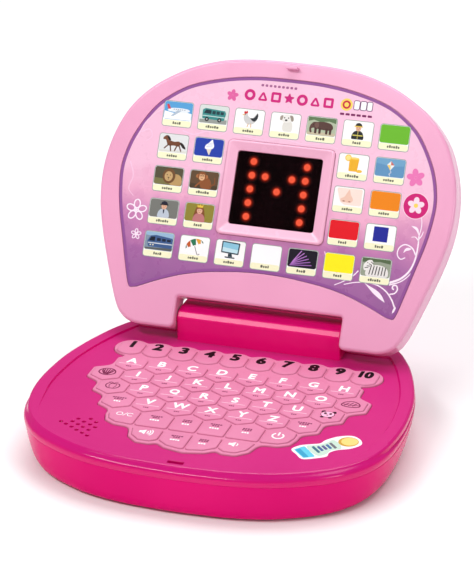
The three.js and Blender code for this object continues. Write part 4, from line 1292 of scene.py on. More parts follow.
up_lid, out_lid = dy * ST + dz * CT + AXIS_S, dz * ST - dy * CT
in_frame = (np.abs(V[:, 0]) < 32.4) & (up_lid > 67.9) & (up_lid < 123.6) & (out_lid > 5.9)
for p in me.polygons:
    if all(in_frame[i] for i in p.vertices):
        p.material_index = 1

bc = Geo(lid_pt).loft(rounded_slab(LIDO, DEPTH_BACK, DEPTH_SPLIT - 0.3, 2.0, 0.25, 8)).mesh("cover")
PANEL = ccw(resample(catmull(mirrored([(0, 163), (30, 161), (55, 154), (75, 143), (88, 129), (94.6, 112), (96, 96), (94.6, 82), (91, 66), (86, 50), (81, 43.5), (74, 41.6), (40, 41), (0, 41)])), n=220))
psec = []
for k in range(7):
    a = math.pi / 2 * k / 6
    psec.append((inset(PANEL, 1.3 * (1 - math.sin(a))), DEPTH_BACK - 1.8 + 1.3 * (1 - math.cos(a))))
psec.append((PANEL, DEPTH_BACK + 1.2))
bc = join(bc, Geo(lid_pt).loft(psec))
bc = cut(bc, Geo(lid_pt).loft([(cav, DEPTH_BACK + 2), (cav, 20)]))
bc = cut(bc, wedge)
place(bc, "lid_back", "lid", [LIDP], ["lid_back_cover"], 32)

# ------------------------------------------------------------------ printed sheet on the lid
g = Geo(lid_pt)
g.plate(SHEETO, 7.8, 8.3, holes=[rect(-32.6, 32.6, 67.7, 123.8, 3.4, 8)])
pts = np.array(g.v)
me = g.mesh("sheet")
fl = me.attributes.new("flat", "FLOAT_VECTOR", "POINT")
fl.data.foreach_set("vector", (np.stack([pts[:, 0], pts[:, 1], np.zeros(len(pts))], 1) / 100).astype(np.float32).ravel())
place(me, "printed_sheet", "lid", [SHEET_M], ["graphic_sheet"])

PRINT = Geo(lid_pt)
TOP = 8.3
_layer = [0]


def put(outline, colour, level, holes=()):
    PRINT.plate(outline, TOP - 0.15, TOP + 0.022 * level, 0, srgb(*colour), holes)


PURPLE = (146, 84, 152)
put(SHEETO, PURPLE, 1, holes=[inset_clean(SHEETO, 1.7, 1.0)])

# flowers: five open petals, drawn as bands
def flower(cx, cy, r, colour, level=1, w=0.55, turn=0.0, solid=False):
    for k in range(5):
        a = turn + 2 * math.pi * k / 5
        px, py = cx + 0.56 * r * math.cos(a), cy + 0.56 * r * math.sin(a)
        out = circle(0, 0, 0.44 * r, 22, 0.33 * r)
        rot = np.array([[math.cos(a), -math.sin(a)], [math.sin(a), math.cos(a)]])
        o = out @ rot.T + (px, py)
        if solid:
            put(o, colour, level + 0.15 * k)
        else:
            put(o, colour, level + 0.15 * k, holes=[inset_clean(o, w)])
    put(circle(cx, cy, 0.13 * r, 12), colour, level)


flower(-82, 76, 6.6, (250, 236, 248), 1.4, 0.75, 0.3)
flower(-80, 62, 3.3, (248, 232, 246), 1.4, 0.55, 0.3)
flower(81, 113, 5.4, (234, 120, 182), 1.4, turn=0.5, solid=True)
flower(-34, 149, 3.6, (222, 96, 160), 1.4, turn=0.2, solid=True)


def ribbon(pts, w0, w1, colour, level=1.4):
    """A tapering stroke along a smooth line."""
    p = resample(catmull(pts, closed=False, fine=10), step=0.9, closed=False)
    d = np.gradient(p, axis=0)
    d /= np.linalg.norm(d, axis=1, keepdims=True)
    nrm = np.stack([-d[:, 1], d[:, 0]], 1)
    t = np.linspace(0, 1, len(p))[:, None]
    w = (w0 + (w1 - w0) * t) / 2
    put(ccw(np.vstack([p + nrm * w, (p - nrm * w)[::-1]])), colour, level)


def leaf(pts, w, colour, level=0.9):
    """A stroke that swells to a leaf and closes to a point."""
    p = resample(catmull(pts, closed=False, fine=10), step=0.6, closed=False)
    d = np.gradient(p, axis=0)
    d /= np.linalg.norm(d, axis=1, keepdims=True)
    nrm = np.stack([-d[:, 1], d[:, 0]], 1)
    t = np.linspace(0, 1, len(p))[:, None]
    h = (0.14 + (w - 0.14) * np.sin(math.pi * t ** 1.3)) / 2
    put(ccw(np.vstack([p + nrm * h, (p - nrm * h)[::-1]])), colour, level)


SW = (252, 236, 249)
for pts_, a, b in (
    ([(42.5, 46.6), (48, 49.6), (53, 53.4), (55.4, 56.4)], 0.45, 0.7),
    ([(48, 47.6), (54, 49.4), (60.3, 50.2), (67.7, 49.4), (73.5, 46.2), (77.4, 41.7), (79.2, 38.2)], 0.5, 0.9),
    ([(74.3, 51.6), (80.5, 54.7), (84.9, 59.6), (87.2, 66.0), (87.9, 73.2), (87.7, 80.0)], 1.3, 0.75),
    ([(74.4, 50.4), (81.2, 53.4), (86.2, 58.8), (88.2, 64.6)], 0.8, 0.35),
    ([(75.4, 45.2), (78.2, 46.0), (79.6, 48.4), (78.6, 50.6), (76.7, 50.2), (76.6, 48.6), (77.6, 48.2)], 0.75, 0.9),
    ([(87.4, 69.0), (84.6, 73.0), (80.2, 74.4), (77.0, 71.8), (76.8, 67.8), (79.0, 65.8), (81.4, 67.0)], 0.85, 0.6),
    ([(87.8, 77.4), (85.6, 79.4), (83.4, 79.0)], 0.7, 0.35),
    ([(87.8, 78.2), (89.4, 81.0), (89.8, 83.0)], 0.7, 0.35),
    ([(87.6, 80.0), (88.4, 86.0), (87.4, 92.0), (86.6, 95.0)], 0.6, 0.3),
):
    ribbon(pts_, a, b, SW, 0.9)
leaf([(60.0, 49.8), (65.0, 46.6), (69.2, 43.8), (73.2, 40.2)], 2.7, SW)
leaf([(79.0, 39.6), (79.6, 37.4), (78.4, 34.6)], 1.5, SW)
leaf([(80.0, 69.6), (81.4, 71.6), (84.4, 72.4)], 1.7, SW)
leaf([(87.6, 80.4), (85.8, 84.0), (82.6, 85.4)], 1.5, SW)
for pts_, a, b in (
    ([(-88, 118), (-84, 128), (-78, 134.5), (-70, 138), (-66, 136)], 0.8, 0.35),
    ([(-86, 122), (-81, 124), (-79, 120), (-82, 117)], 0.8, 0.35),
    ([(-90, 104), (-87, 96), (-88.6, 88), (-85, 84)], 0.8, 0.35),
    ([(-61, 125.2), (-54, 123.8), (-46, 126.4), (-38, 125), (-34, 127.6)], 0.8, 0.4),
    ([(-24, 126), (-12, 124.8), (0, 126.6), (14, 125), (26, 126.4), (33, 124.6)], 0.55, 0.4),
    ([(34, 65), (38, 58), (46, 52), (52, 50)], 0.6, 0.35),
):
    ribbon(pts_, a, b, (246, 200, 226))

# heading: a row of plain shapes where the wording would be, and a plain badge
HEAD = (205, 22, 120)
for k in range(7):
    cx, cy, r = -23.6 + 7.9 * k, 150.4, 3.3
    kind = k % 4
    if kind == 0:
        put(circle(cx, cy, r, 36), HEAD, 1.4, holes=[circle(cx, cy, r - 1.75, 30)])
    elif kind == 1:
        o = round_poly([(cx - r, cy - r * 0.86), (cx + r, cy - r * 0.86), (cx, cy + r * 1.0)], 0.9, 5)
        put(o, HEAD, 1.4, holes=[[(cx - 1.29, cy - 1.64), (cx + 1.29, cy - 1.64), (cx, cy + 0.77)]])
    elif kind == 2:
        o = rect(cx - r * 0.9, cx + r * 0.9, cy - r * 0.9, cy + r * 0.9, 0.9, 5)
        put(o, HEAD, 1.4, holes=[rect(cx - 1.47, cx + 1.47, cy - 1.47, cy + 1.47)])
    else:
        star = [(cx + (r * 1.12 if j % 2 == 0 else r * 0.5) * math.sin(math.pi * j / 5), cy + (r * 1.12 if j % 2 == 0 else r * 0.5) * math.cos(math.pi * j / 5)) for j in range(10)]
        put(round_poly(star, 0.35, 3), HEAD, 1.4)
for k in range(9):
    put(rect(-17.6 + 2.5 * k, -16.0 + 2.5 * k, 156.0, 157.4, 0.45, 3), (160, 92, 140), 1.4)
put(circle(34.6, 150.6, 3.6, 36), (250, 214, 96), 1.2)
put(arc_band(34.6, 150.6, 1.9, 1.1, 0, 359, 30), (196, 30, 60), 1.5)
for k, (w, c) in enumerate(((3.0, (252, 250, 252)), (3.2, (252, 250, 252)), (2.8, (252, 250, 252)))):
    o = rect(39.2 + 3.9 * k, 39.2 + 3.9 * k + w, 148.4, 153.2, 0.7, 4)
    put(inset(ccw(o), -0.45), (110, 60, 110), 1.2)
    put(o, c, 1.5)
for k in range(6):
    put(rect(31.4 + 3.3 * k, 33.9 + 3.3 * k, 144.4, 145.7, 0.35, 3), (120, 24, 90), 1.4)
put(circle(83.4, 97, 7.7, 48), (206, 24, 116), 1.3)
put(circle(83.4, 97, 7.7, 48), (250, 214, 232), 1.5, holes=[circle(83.4, 97, 7.25, 44)])
flower(83.4, 97.2, 5.0, (250, 222, 236), 1.6, turn=0.31, solid=True)
put(circle(83.4, 97.2, 1.25, 24), (252, 214, 96), 2.6)

# ------------------------------------------------------------------ picture cards
COLX = [-65.4 + 21.79 * i for i in range(7)]
ROWS = [134.5, 115.2, 95.95, 76.7, 57.4]
CW, CH = 9.1, 7.6
SKY = (150, 196, 232)


def card(cx, cy, back, draw, colour=None, inner=None):
    o = rect(cx - CW, cx + CW, cy - CH, cy + CH, 1.7, 5)
    put(o, (142, 158, 146), 1.0)
    put(inset(ccw(o), 0.38), (252, 252, 250), 1.3)
    pic = rect(cx - CW + 0.5, cx + CW - 0.5, cy - CH + 4.2, cy + CH - 0.5, 1.25, 4)
    if back:
        put(pic, back, 1.6)
    cap = rect(cx - CW + 0.5, cx + CW - 0.5, cy - CH + 0.5, cy - CH + 3.9, 1.2, 4)
    put(cap, (246, 246, 206), 1.6)
    n = 3 + int(abs(cx * 7 + cy * 3)) % 3
    ws = [(1.3, 0.9, 1.1, 0.8, 1.2, 1.0, 0.9, 1.1)[(k + int(abs(cx))) % 8] for k in range(n + 1)]
    x0 = cx - (sum(ws) + 0.3 * n) / 2
    for k, w in enumerate(ws):
        up_ = 0.35 if (k + n) % 3 == 0 else 0.0
        put(rect(x0, x0 + w, cy - CH + 1.55, cy - CH + 2.75 + up_, 0.28, 2), (96, 96, 82), 1.9)
        x0 += w + 0.3
    draw(cx, cy + 2.0)


LIM = {"x": 8.3, "lo": -5.3, "hi": 5.0}


def d_poly(cx, cy, pts, col, lvl=2.0, r=0.0):
    p = np.array(pts, float)
    p[:, 0] = np.clip(p[:, 0], -LIM["x"], LIM["x"])
    p[:, 1] = np.clip(p[:, 1], LIM["lo"], LIM["hi"])
    p = p + (cx, cy)
    put(round_poly(ccw(p), r, 3) if r else ccw(p), col, lvl)


def d_blob(cx, cy, pts, col, lvl=2.0):
    p = resample(catmull(pts, closed=True, fine=8), n=max(16, 6 * len(pts)))
    p[:, 0] = np.clip(p[:, 0], -LIM["x"], LIM["x"])
    p[:, 1] = np.clip(p[:, 1], LIM["lo"], LIM["hi"])
    put(ccw(p + (cx, cy)), col, lvl)


def d_ell(cx, cy, x, y, rx, ry, col, lvl=2.2, n=20):
    put(circle(cx + x, cy + y, rx, n, ry), col, lvl)


def d_line(cx, cy, x0, y0, x1, y1, w, col, lvl=2.4):
    put(capsule(cx + x0, cy + y0, cx + x1, cy + y1, w, 5), col, lvl)


def airplane(x, y):
    d_poly(x, y, [(-8.3, -5.2), (8.3, -5.2), (8.3, -1.2), (4, -0.4), (-2, -1.6), (-8.3, -0.6)], (250, 252, 253), 1.9)
    d_blob(x, y, [(-6.6, -0.2), (-5.2, 1.0), (3.4, 1.5), (6.6, 0.9), (7.2, 0.2), (5.6, -0.6), (-3, -0.9)], (232, 238, 244), 2.2)
    d_poly(x, y, [(-0.6, 0.2), (2.2, 0.2), (-2.6, -3.4), (-4.2, -3.4)], (176, 192, 208), 2.5)
    d_poly(x, y, [(-6.4, 0.6), (-4.6, 0.7), (-6.0, 3.4), (-7.4, 3.4)], (206, 60, 70), 2.5)
    for k in range(6):
        d_ell(x, y, -2.6 + 1.3 * k, 0.7, 0.3, 0.3, (70, 90, 120), 2.7, 10)


def bus(x, y):
    d_poly(x, y, [(-8.3, -5.2), (8.3, -5.2), (8.3, -2.6), (-8.3, -3.2)], (150, 156, 150), 1.9)
    d_poly(x, y, [(-6.8, -2.8), (6.6, -3.2), (7.4, 1.0), (6.6, 2.6), (-5.4, 3.4), (-7.0, 2.4)], (56, 138, 136), 2.2, 0.8)
    d_poly(x, y, [(-6.2, 0.4), (-5.0, 2.6), (-1.6, 2.4), (-1.6, 0.2)], (22, 46, 56), 2.5, 0.3)
    for k in range(3):
        d_poly(x, y, [(-1.0 + 2.5 * k, 0.2), (-1.0 + 2.5 * k, 2.2 - 0.12 * k), (1.0 + 2.5 * k, 2.1 - 0.12 * k), (1.0 + 2.5 * k, 0.1)], (26, 58, 66), 2.5, 0.25)
    for wx in (-3.9, 3.8):
        d_ell(x, y, wx, -3.0, 1.25, 1.25, (24, 26, 28), 2.7)
        d_ell(x, y, wx, -3.0, 0.5, 0.5, (190, 194, 194), 2.9, 12)
    d_line(x, y, -6.6, -1.0, 6.8, -1.3, 0.4, (206, 232, 226), 2.6)


def rooster(x, y):
    d_blob(x, y, [(-3.2, -1.2), (-3.6, 1.6), (-2.0, 3.2), (-0.8, 1.2), (1.6, 0.2), (4.4, 3.6), (4.8, 0.2), (2.6, -2.8), (-0.8, -3.4)], (206, 206, 204), 2.2)
    d_blob(x, y, [(0.4, 0.2), (2.6, 0.6), (4.6, 3.4), (4.9, 0.6), (3.0, -1.6)], (42, 44, 50), 2.5)
    d_blob(x, y, [(-3.6, 2.6), (-3.4, 4.2), (-2.6, 3.7), (-2.1, 4.5), (-1.4, 3.2), (-2.4, 2.6)], (200, 34, 40), 2.6)
    d_poly(x, y, [(-4.8, 1.9), (-3.2, 1.5), (-3.3, 2.4)], (232, 170, 50), 2.6)
    d_ell(x, y, -2.8, 2.2, 0.28, 0.28, (20, 20, 20), 2.9, 10)
    d_line(x, y, -0.4, -3.2, -0.8, -5.0, 0.4, (210, 150, 50))
    d_line(x, y, 1.2, -3.0, 1.4, -5.0, 0.4, (210, 150, 50))


def dog(x, y):
    d_blob(x, y, [(-0.8, -5.1), (-1.6, -1.6), (-0.2, 0.8), (3.4, 0.6), (4.4, -2.4), (3.8, -5.1)], (226, 224, 216), 2.1)
    d_blob(x, y, [(-2.4, 1.0), (-2.6, 3.2), (-0.4, 4.6), (2.4, 4.4), (3.8, 2.6), (3.0, 0.6), (0.4, -0.2)], (238, 236, 230), 2.4)
    d_blob(x, y, [(2.2, 4.2), (3.9, 4.0), (4.6, 1.4), (3.6, 0.8), (2.8, 2.4)], (150, 140, 128), 2.7)
    d_blob(x, y, [(-2.0, 4.0), (-3.4, 3.4), (-3.4, 1.2), (-2.4, 1.2), (-1.8, 2.6)], (160, 150, 138), 2.7)
    d_ell(x, y, -0.9, 2.7, 0.36, 0.42, (20, 18, 18), 2.8, 12)
    d_ell(x, y, 1.5, 2.7, 0.36, 0.42, (20, 18, 18), 2.8, 12)
    d_ell(x, y, 0.2, 1.3, 0.75, 0.55, (24, 20, 20), 2.8, 14)


def elephant(x, y):
    d_poly(x, y, [(-8.3, 5.0), (8.3, 5.0), (8.3, 2.2), (4.0, 3.2), (-1.0, 2.4), (-5.0, 3.4), (-8.3, 2.4)], (96, 122, 84), 1.9)
    d_poly(x, y, [(-8.3, -5.2), (8.3, -5.2), (8.3, -3.4), (-8.3, -3.8)], (196, 186, 158), 1.9)
    d_blob(x, y, [(-6.2, -0.6), (-5.6, 1.8), (-2.6, 2.4), (2.6, 2.6), (6.0, 1.4), (6.8, -1.0), (5.0, -2.0), (-3.0, -1.6)], (86, 58, 52), 2.2)
    for lx in (-3.4, -0.9, 3.2, 5.4):
        d_poly(x, y, [(lx - 0.8, -1.0), (lx + 0.8, -1.0), (lx + 0.65, -4.4), (lx - 0.65, -4.4)], (74, 48, 44), 2.3, 0.3)
    d_blob(x, y, [(-5.0, 1.6), (-6.6, 0.6), (-7.2, -2.6), (-6.4, -4.2), (-5.6, -3.8), (-6.0, -1.8), (-4.4, -0.8)], (92, 62, 56), 2.5)
    d_blob(x, y, [(-4.0, 1.6), (-2.2, 1.9), (-1.8, -0.4), (-3.0, -1.2), (-4.2, 0.0)], (112, 80, 72), 2.7)
    d_ell(x, y, -5.0, 0.5, 0.25, 0.25, (16, 12, 12), 2.9, 10)


def person(x, y, coat, hat, brim, skin=(226, 176, 146), hair=(70, 44, 34)):
    """A small standing figure with a plain face: two dots and a level mouth."""
    d_blob(x, y, [(-3.4, -5.2), (-3.0, -1.8), (-1.4, -0.4), (1.4, -0.4), (3.0, -1.8), (3.4, -5.2)], coat, 2.1)
    d_ell(x, y, 0, 1.4, 1.65, 2.0, skin, 2.5, 24)
    d_blob(x, y, [(-1.9, 2.0), (-1.6, 3.6), (0, 4.3), (1.6, 3.6), (1.9, 2.0), (0, 2.5)], hat or hair, 2.8)
    if brim:
        d_line(x, y, -2.3, 2.2, 2.3, 2.2, 0.6, brim, 3.0)
    for k in (-0.6, 0.6):
        d_ell(x, y, k, 1.4, 0.2, 0.2, (50, 34, 30), 2.8, 8)
    d_line(x, y, -0.45, 0.35, 0.45, 0.35, 0.2, (150, 80, 72), 2.8)


def fireman(x, y):
    person(x, y, (30, 34, 36), (40, 42, 44), (222, 190, 60))
    d_line(x, y, -2.8, -3.0, 2.8, -3.0, 0.6, (214, 202, 96), 2.4)
    d_line(x, y, 0, -0.8, 0, -5.0, 0.3, (214, 202, 96), 2.4)


def swatch(col, hx=7.8, hy=4.7):
    return lambda x, y: put(rect(x - hx, x + hx, y - 0.15 - hy, y - 0.15 + hy, 0.3, 3), col, 2.0)


def horse(x, y):
    d_poly(x, y, [(-8.3, -5.2), (8.3, -5.2), (8.3, -4.0), (-8.3, -4.2)], (220, 220, 212), 1.9)
    d_blob(x, y, [(-3.6, 0.8), (-2.6, 1.4), (0.6, 1.0), (3.4, 1.3), (4.4, 0.0), (3.4, -1.6), (0.4, -1.3), (-2.6, -1.6), (-3.8, -0.8)], (112, 66, 44), 2.2)
    d_blob(x, y, [(-3.8, -0.2), (-5.0, 1.8), (-6.6, 2.0), (-6.4, 3.1), (-4.6, 4.4), (-3.4, 3.2), (-2.2, 0.8)], (120, 72, 48), 2.4)
    d_blob(x, y, [(-4.4, 4.4), (-3.0, 3.8), (-1.8, 1.6), (-2.8, 1.6), (-4.0, 3.2)], (34, 22, 20), 2.6)
    d_blob(x, y, [(4.0, 0.9), (5.8, 0.2), (7.8, -2.8), (6.4, -2.6), (4.4, -0.6)], (36, 24, 22), 2.4)
    for a, b in (((-3.0, -1.0), (-5.2, -3.2)), ((-1.8, -1.2), (-1.2, -4.4)), ((2.4, -1.0), (1.2, -4.2)), ((3.6, -1.0), (5.0, -4.2))):
        d_line(x, y, *a, *b, 0.75, (96, 56, 40), 2.3)


def icecream(x, y):
    d_poly(x, y, [(-1.8, -0.6), (1.9, 0.0), (0.6, -5.0)], (226, 216, 200), 2.1, 0.3)
    d_blob(x, y, [(-2.4, -0.8), (-2.2, 1.0), (-0.6, 2.4), (1.6, 4.6), (2.2, 3.0), (2.9, 1.2), (2.6, -0.4), (0.2, -1.2)], (240, 244, 250), 2.4)
    d_line(x, y, -1.6, 0.4, 2.0, 1.0, 0.3, (184, 196, 220), 2.7)
    d_line(x, y, -0.8, 1.8, 1.9, 2.2, 0.3, (184, 196, 220), 2.7)


def juice(x, y):
    d_poly(x, y, [(-2.4, -4.6), (2.6, -4.6), (3.2, 3.0), (-2.6, 3.0)], (238, 178, 40), 2.1, 0.5)
    d_ell(x, y, 0.3, 3.0, 2.9, 0.6, (248, 214, 110), 2.4)
    d_ell(x, y, -3.4, 3.0, 1.9, 1.9, (246, 196, 60), 2.6)
    d_ell(x, y, -3.4, 3.0, 1.4, 1.4, (252, 228, 140), 2.8)
    d_blob(x, y, [(2.4, -4.8), (5.2, -4.8), (5.6, -3.8), (3.0, -3.4)], (240, 190, 60), 2.5)


def kite(x, y):
    d_poly(x, y, [(-8.3, 5.0), (8.3, 5.0), (8.3, 1.6), (1.0, 0.6), (-8.3, 2.0)], (112, 164, 200), 1.9)
    d_poly(x, y, [(0.2, 3.8), (2.4, 1.4), (0.2, -1.6), (-2.0, 1.4)], (236, 240, 240), 2.3)
    d_poly(x, y, [(0.2, 3.8), (2.4, 1.4), (0.2, 1.4)], (206, 110, 100), 2.5)
    d_poly(x, y, [(0.2, -1.6), (-2.0, 1.4), (0.2, 1.4)], (240, 206, 110), 2.5)
    p = [(0.2, -1.6), (0.9, -2.8), (-0.3, -3.8), (0.5, -4.9)]
    for a, b in zip(p[:-1], p[1:]):
        d_line(x, y, *a, *b, 0.25, (236, 236, 236))


def lion(x, y):
    d_poly(x, y, [(-8.3, -5.2), (8.3, -5.2), (8.3, -2.4), (-8.3, -1.6)], (120, 116, 70), 1.9)
    d_blob(x, y, [(1.0, -4.6), (1.8, 0.4), (5.0, 1.4), (7.8, -0.4), (7.9, -4.8)], (186, 152, 98), 2.1)
    d_ell(x, y, 0.2, 0.0, 3.9, 4.4, (112, 76, 44), 2.4, 30)
    d_ell(x, y, 0.0, -0.2, 2.5, 2.9, (198, 164, 112), 2.7, 26)
    for k in (-1.0, 1.0):
        d_ell(x, y, k, 0.6, 0.3, 0.3, (26, 20, 16), 2.9, 10)
    d_poly(x, y, [(-0.7, -0.7), (0.7, -0.7), (0, -1.5)], (64, 36, 30), 2.9)
    d_line(x, y, 0, -1.5, 0, -2.3, 0.25, (64, 36, 30), 2.9)


def monkey(x, y):
    d_poly(x, y, [(-8.3, -5.2), (8.3, -5.2), (8.3, -3.0), (-8.3, -2.6)], (74, 60, 40), 1.9)
    d_blob(x, y, [(-1.6, -4.6), (-2.4, -1.4), (-0.4, 1.4), (2.6, 1.0), (4.4, -1.6), (4.4, -4.7)], (140, 82, 44), 2.1)
    d_line(x, y, 4.0, -3.8, 6.6, -1.6, 0.7, (130, 74, 38), 2.2)
    d_line(x, y, 6.6, -1.6, 6.2, 1.6, 0.6, (130, 74, 38), 2.3)
    d_line(x, y, -1.4, -0.6, -4.8, -4.2, 0.9, (150, 88, 48), 2.4)
    for k in (-1, 1):
        d_ell(x, y, -1.6 + 2.7 * k, 1.9, 0.95, 1.05, (176, 112, 66), 2.4, 16)
    d_ell(x, y, -1.6, 1.9, 2.6, 2.7, (140, 82, 44), 2.5, 28)
    d_ell(x, y, -1.6, 1.2, 1.75, 1.7, (226, 178, 132), 2.7, 22)
    d_ell(x, y, -2.35, 2.4, 0.85, 0.8, (226, 178, 132), 2.7, 16)
    d_ell(x, y, -0.85, 2.4, 0.85, 0.8, (226, 178, 132), 2.7, 16)
    for k in (-0.7, 0.7):
        d_ell(x, y, -1.6 + k, 2.3, 0.28, 0.34, (26, 18, 14), 3.0, 10)
    d_line(x, y, -2.2, 0.6, -1.0, 0.6, 0.22, (90, 44, 34), 3.0)


def nose(x, y):
    d_poly(x, y, [(-7.6, 4.6), (7.8, 4.8), (7.8, -4.9), (-2.0, -4.9), (-4.6, -3.4)], (248, 226, 214), 1.9, 1.0)
    d_blob(x, y, [(0.0, 4.0), (1.2, 1.0), (2.8, -1.8), (1.6, -3.4), (-1.6, -3.4), (-4.2, -3.0), (-4.6, -1.6), (-2.6, -0.4), (-1.2, 2.0)], (238, 198, 178), 2.3)
    d_ell(x, y, -2.6, -2.8, 0.8, 0.32, (168, 108, 96), 2.6, 14)
    d_ell(x, y, 0.8, -2.9, 0.7, 0.3, (168, 108, 96), 2.6, 14)


def policeman(x, y):
    person(x, y, (190, 202, 214), (30, 32, 50), (20, 20, 28))
    d_poly(x, y, [(-0.5, -0.6), (0.5, -0.6), (0.3, -2.6), (0, -3.2), (-0.3, -2.6)], (28, 32, 60), 2.5)


def queen(x, y):
    d_blob(x, y, [(-3.0, -5.2), (-2.9, 0.8), (-1.4, 3.6), (1.4, 3.6), (2.9, 0.8), (3.0, -5.2)], (130, 78, 40), 2.0)
    person(x, y - 0.2, (190, 120, 120), (140, 84, 42), None)
    d_poly(x, y, [(-1.6, 3.0), (1.6, 3.0), (1.9, 4.8), (0.8, 3.9), (0, 4.9), (-0.8, 3.9), (-1.9, 4.8)], (232, 196, 70), 3.1)


def train(x, y):
    d_poly(x, y, [(-8.3, 5.0), (8.3, 5.0), (8.3, 2.0), (-8.3, 3.0)], (150, 186, 214), 1.9)
    d_poly(x, y, [(-8.3, -5.2), (8.3, -5.2), (8.3, -3.6), (-8.3, -4.2)], (90, 96, 96), 1.9)
    d_poly(x, y, [(-6.4, -3.6), (-7.2, -0.4), (-5.4, 2.8), (-2.2, 3.4), (8.2, 2.2), (8.2, -3.8)], (62, 92, 140), 2.2, 0.8)
    d_poly(x, y, [(-6.4, -0.2), (-5.0, 2.2), (-2.6, 2.4), (-2.6, -0.2)], (18, 26, 44), 2.5, 0.4)
    for k in range(3):
        d_poly(x, y, [(-1.4 + 3.1 * k, 0.0), (-1.4 + 3.1 * k, 1.8 - 0.2 * k), (0.9 + 3.1 * k, 1.7 - 0.2 * k), (0.9 + 3.1 * k, 0.0)], (24, 34, 56), 2.5, 0.25)
    d_line(x, y, -6.4, -1.4, 8.0, -1.4, 0.6, (206, 214, 222), 2.6)
    for k in (-5.0, -3.4):
        d_ell(x, y, k, -2.5, 0.42, 0.36, (250, 244, 200), 2.7, 10)


def umbrella(x, y):
    cols = ((34, 92, 70), (226, 160, 50), (40, 120, 84), (190, 90, 40), (34, 92, 70))
    c0, turn = np.array((0.2, -0.6)), math.radians(22)
    for k, c in enumerate(cols):
        a0, a1 = math.radians(36 * k), math.radians(36 * (k + 1))
        arc = [(5.6 * math.cos(a0 + (a1 - a0) * j / 5), 4.4 * math.sin(a0 + (a1 - a0) * j / 5)) for j in range(6)]
        sag = [(5.6 * math.cos(a1) * (1 - t) + 5.6 * math.cos(a0) * t, 0.75 * math.sin(math.pi * t)) for t in (0.25, 0.5, 0.75)]
        pts_ = [(px * math.cos(turn) - py * math.sin(turn), px * math.sin(turn) + py * math.cos(turn)) for px, py in arc + sag]
        put(ccw(np.array(pts_) + (x + c0[0], y + c0[1])), c, 2.1 + 0.1 * k)
    d_line(x, y, 0.2, -0.6, 1.9, -4.6, 0.38, (70, 60, 60), 2.0)
    put(arc_band(x + 2.7, y - 4.5, 0.75, 0.36, 180, 360, 10), (70, 60, 60), 2.0)


def video(x, y):
    d_poly(x, y, [(-5.4, -2.0), (5.2, -2.6), (5.6, 4.2), (-5.4, 4.8)], (40, 62, 76), 2.1, 0.5)
    d_poly(x, y, [(-4.7, -1.3), (4.5, -1.8), (4.8, 3.5), (-4.7, 4.1)], (140, 200, 222), 2.4, 0.2)
    d_poly(x, y, [(-4.7, -1.3), (4.5, -1.8), (4.6, 0.2), (-4.7, 1.2)], (196, 230, 238), 2.6)
    d_poly(x, y, [(-1.0, -2.3), (1.2, -2.4), (1.6, -4.2), (-1.0, -4.1)], (44, 60, 70), 2.3)
    d_poly(x, y, [(-3.0, -4.1), (3.4, -4.3), (3.0, -5.0), (-2.6, -4.9)], (54, 70, 80), 2.5, 0.2)


def xray(x, y):
    for k in range(6):
        a = math.radians(8 + 13 * k)
        d_line(x, y, -7.0 + 0.3 * k, -4.4 + 0.5 * k, -7.0 + (12.6 - 0.5 * k) * math.cos(a * 0.75), -4.4 + 0.3 * k + 8.4 * math.sin(a * 0.8), 0.55, (150 + 8 * k, 96 + 6 * k, 176 + 6 * k), 2.1 + 0.1 * k)


def zebra(x, y):
    d_poly(x, y, [(-8.3, 5.0), (8.3, 5.0), (8.3, 2.6), (2.0, 3.4), (-8.3, 2.4)], (86, 106, 74), 1.9)
    d_blob(x, y, [(-5.6, -4.8), (-5.0, -0.8), (-1.4, 1.2), (3.4, 1.2), (6.8, -0.6), (7.2, -4.9)], (232, 230, 226), 2.2)
    d_blob(x, y, [(-6.6, -2.2), (-7.4, 0.6), (-5.0, 3.6), (-2.6, 3.8), (-1.8, 1.4), (-3.6, -1.2)], (236, 234, 230), 2.4)
    for k in range(6):
        d_line(x, y, -2.8 + 1.7 * k, 0.8 - 0.1 * k, -3.6 + 1.8 * k, -4.2, 0.55, (26, 24, 26), 2.6)
    for k in range(4):
        d_line(x, y, -6.4 + 1.1 * k, -0.8 + 1.2 * k, -4.6 + 0.9 * k, -0.4 + 0.8 * k, 0.42, (26, 24, 26), 2.7)
    d_ell(x, y, -5.2, 2.3, 0.28, 0.28, (16, 14, 16), 2.9, 10)


CARDS = [
    [(SKY and (84, 160, 214), airplane), ((214, 222, 218), bus), (None, rooster), (None, dog), ((176, 188, 160), elephant), (None, fireman), ((106, 184, 40), lambda x, y: None)],
    [((226, 228, 228), horse), ((30, 60, 168), icecream), (None, juice), ((96, 148, 190), kite)],
    [((84, 78, 58), lion), ((96, 72, 48), monkey), (None, nose), ((238, 134, 10), lambda x, y: None)],
    [((118, 120, 114), policeman), ((142, 132, 50), queen), ((226, 12, 30), lambda x, y: None), (None, swatch((30, 36, 150), 4.3, 4.3))],
    [((130, 150, 168), train), (None, umbrella), (None, video), ((254, 254, 254), lambda x, y: None), ((20, 10, 30), xray), ((250, 240, 20), lambda x, y: None), ((150, 160, 140), zebra)],
]
for r, row in enumerate(CARDS):
    cols = range(7) if len(row) == 7 else (0, 1, 5, 6)
    for c, (back, draw) in zip(cols, row):
        card(COLX[c], ROWS[r], back, draw)
place(PRINT.mesh("print"), "sheet_print", "lid", [INK])

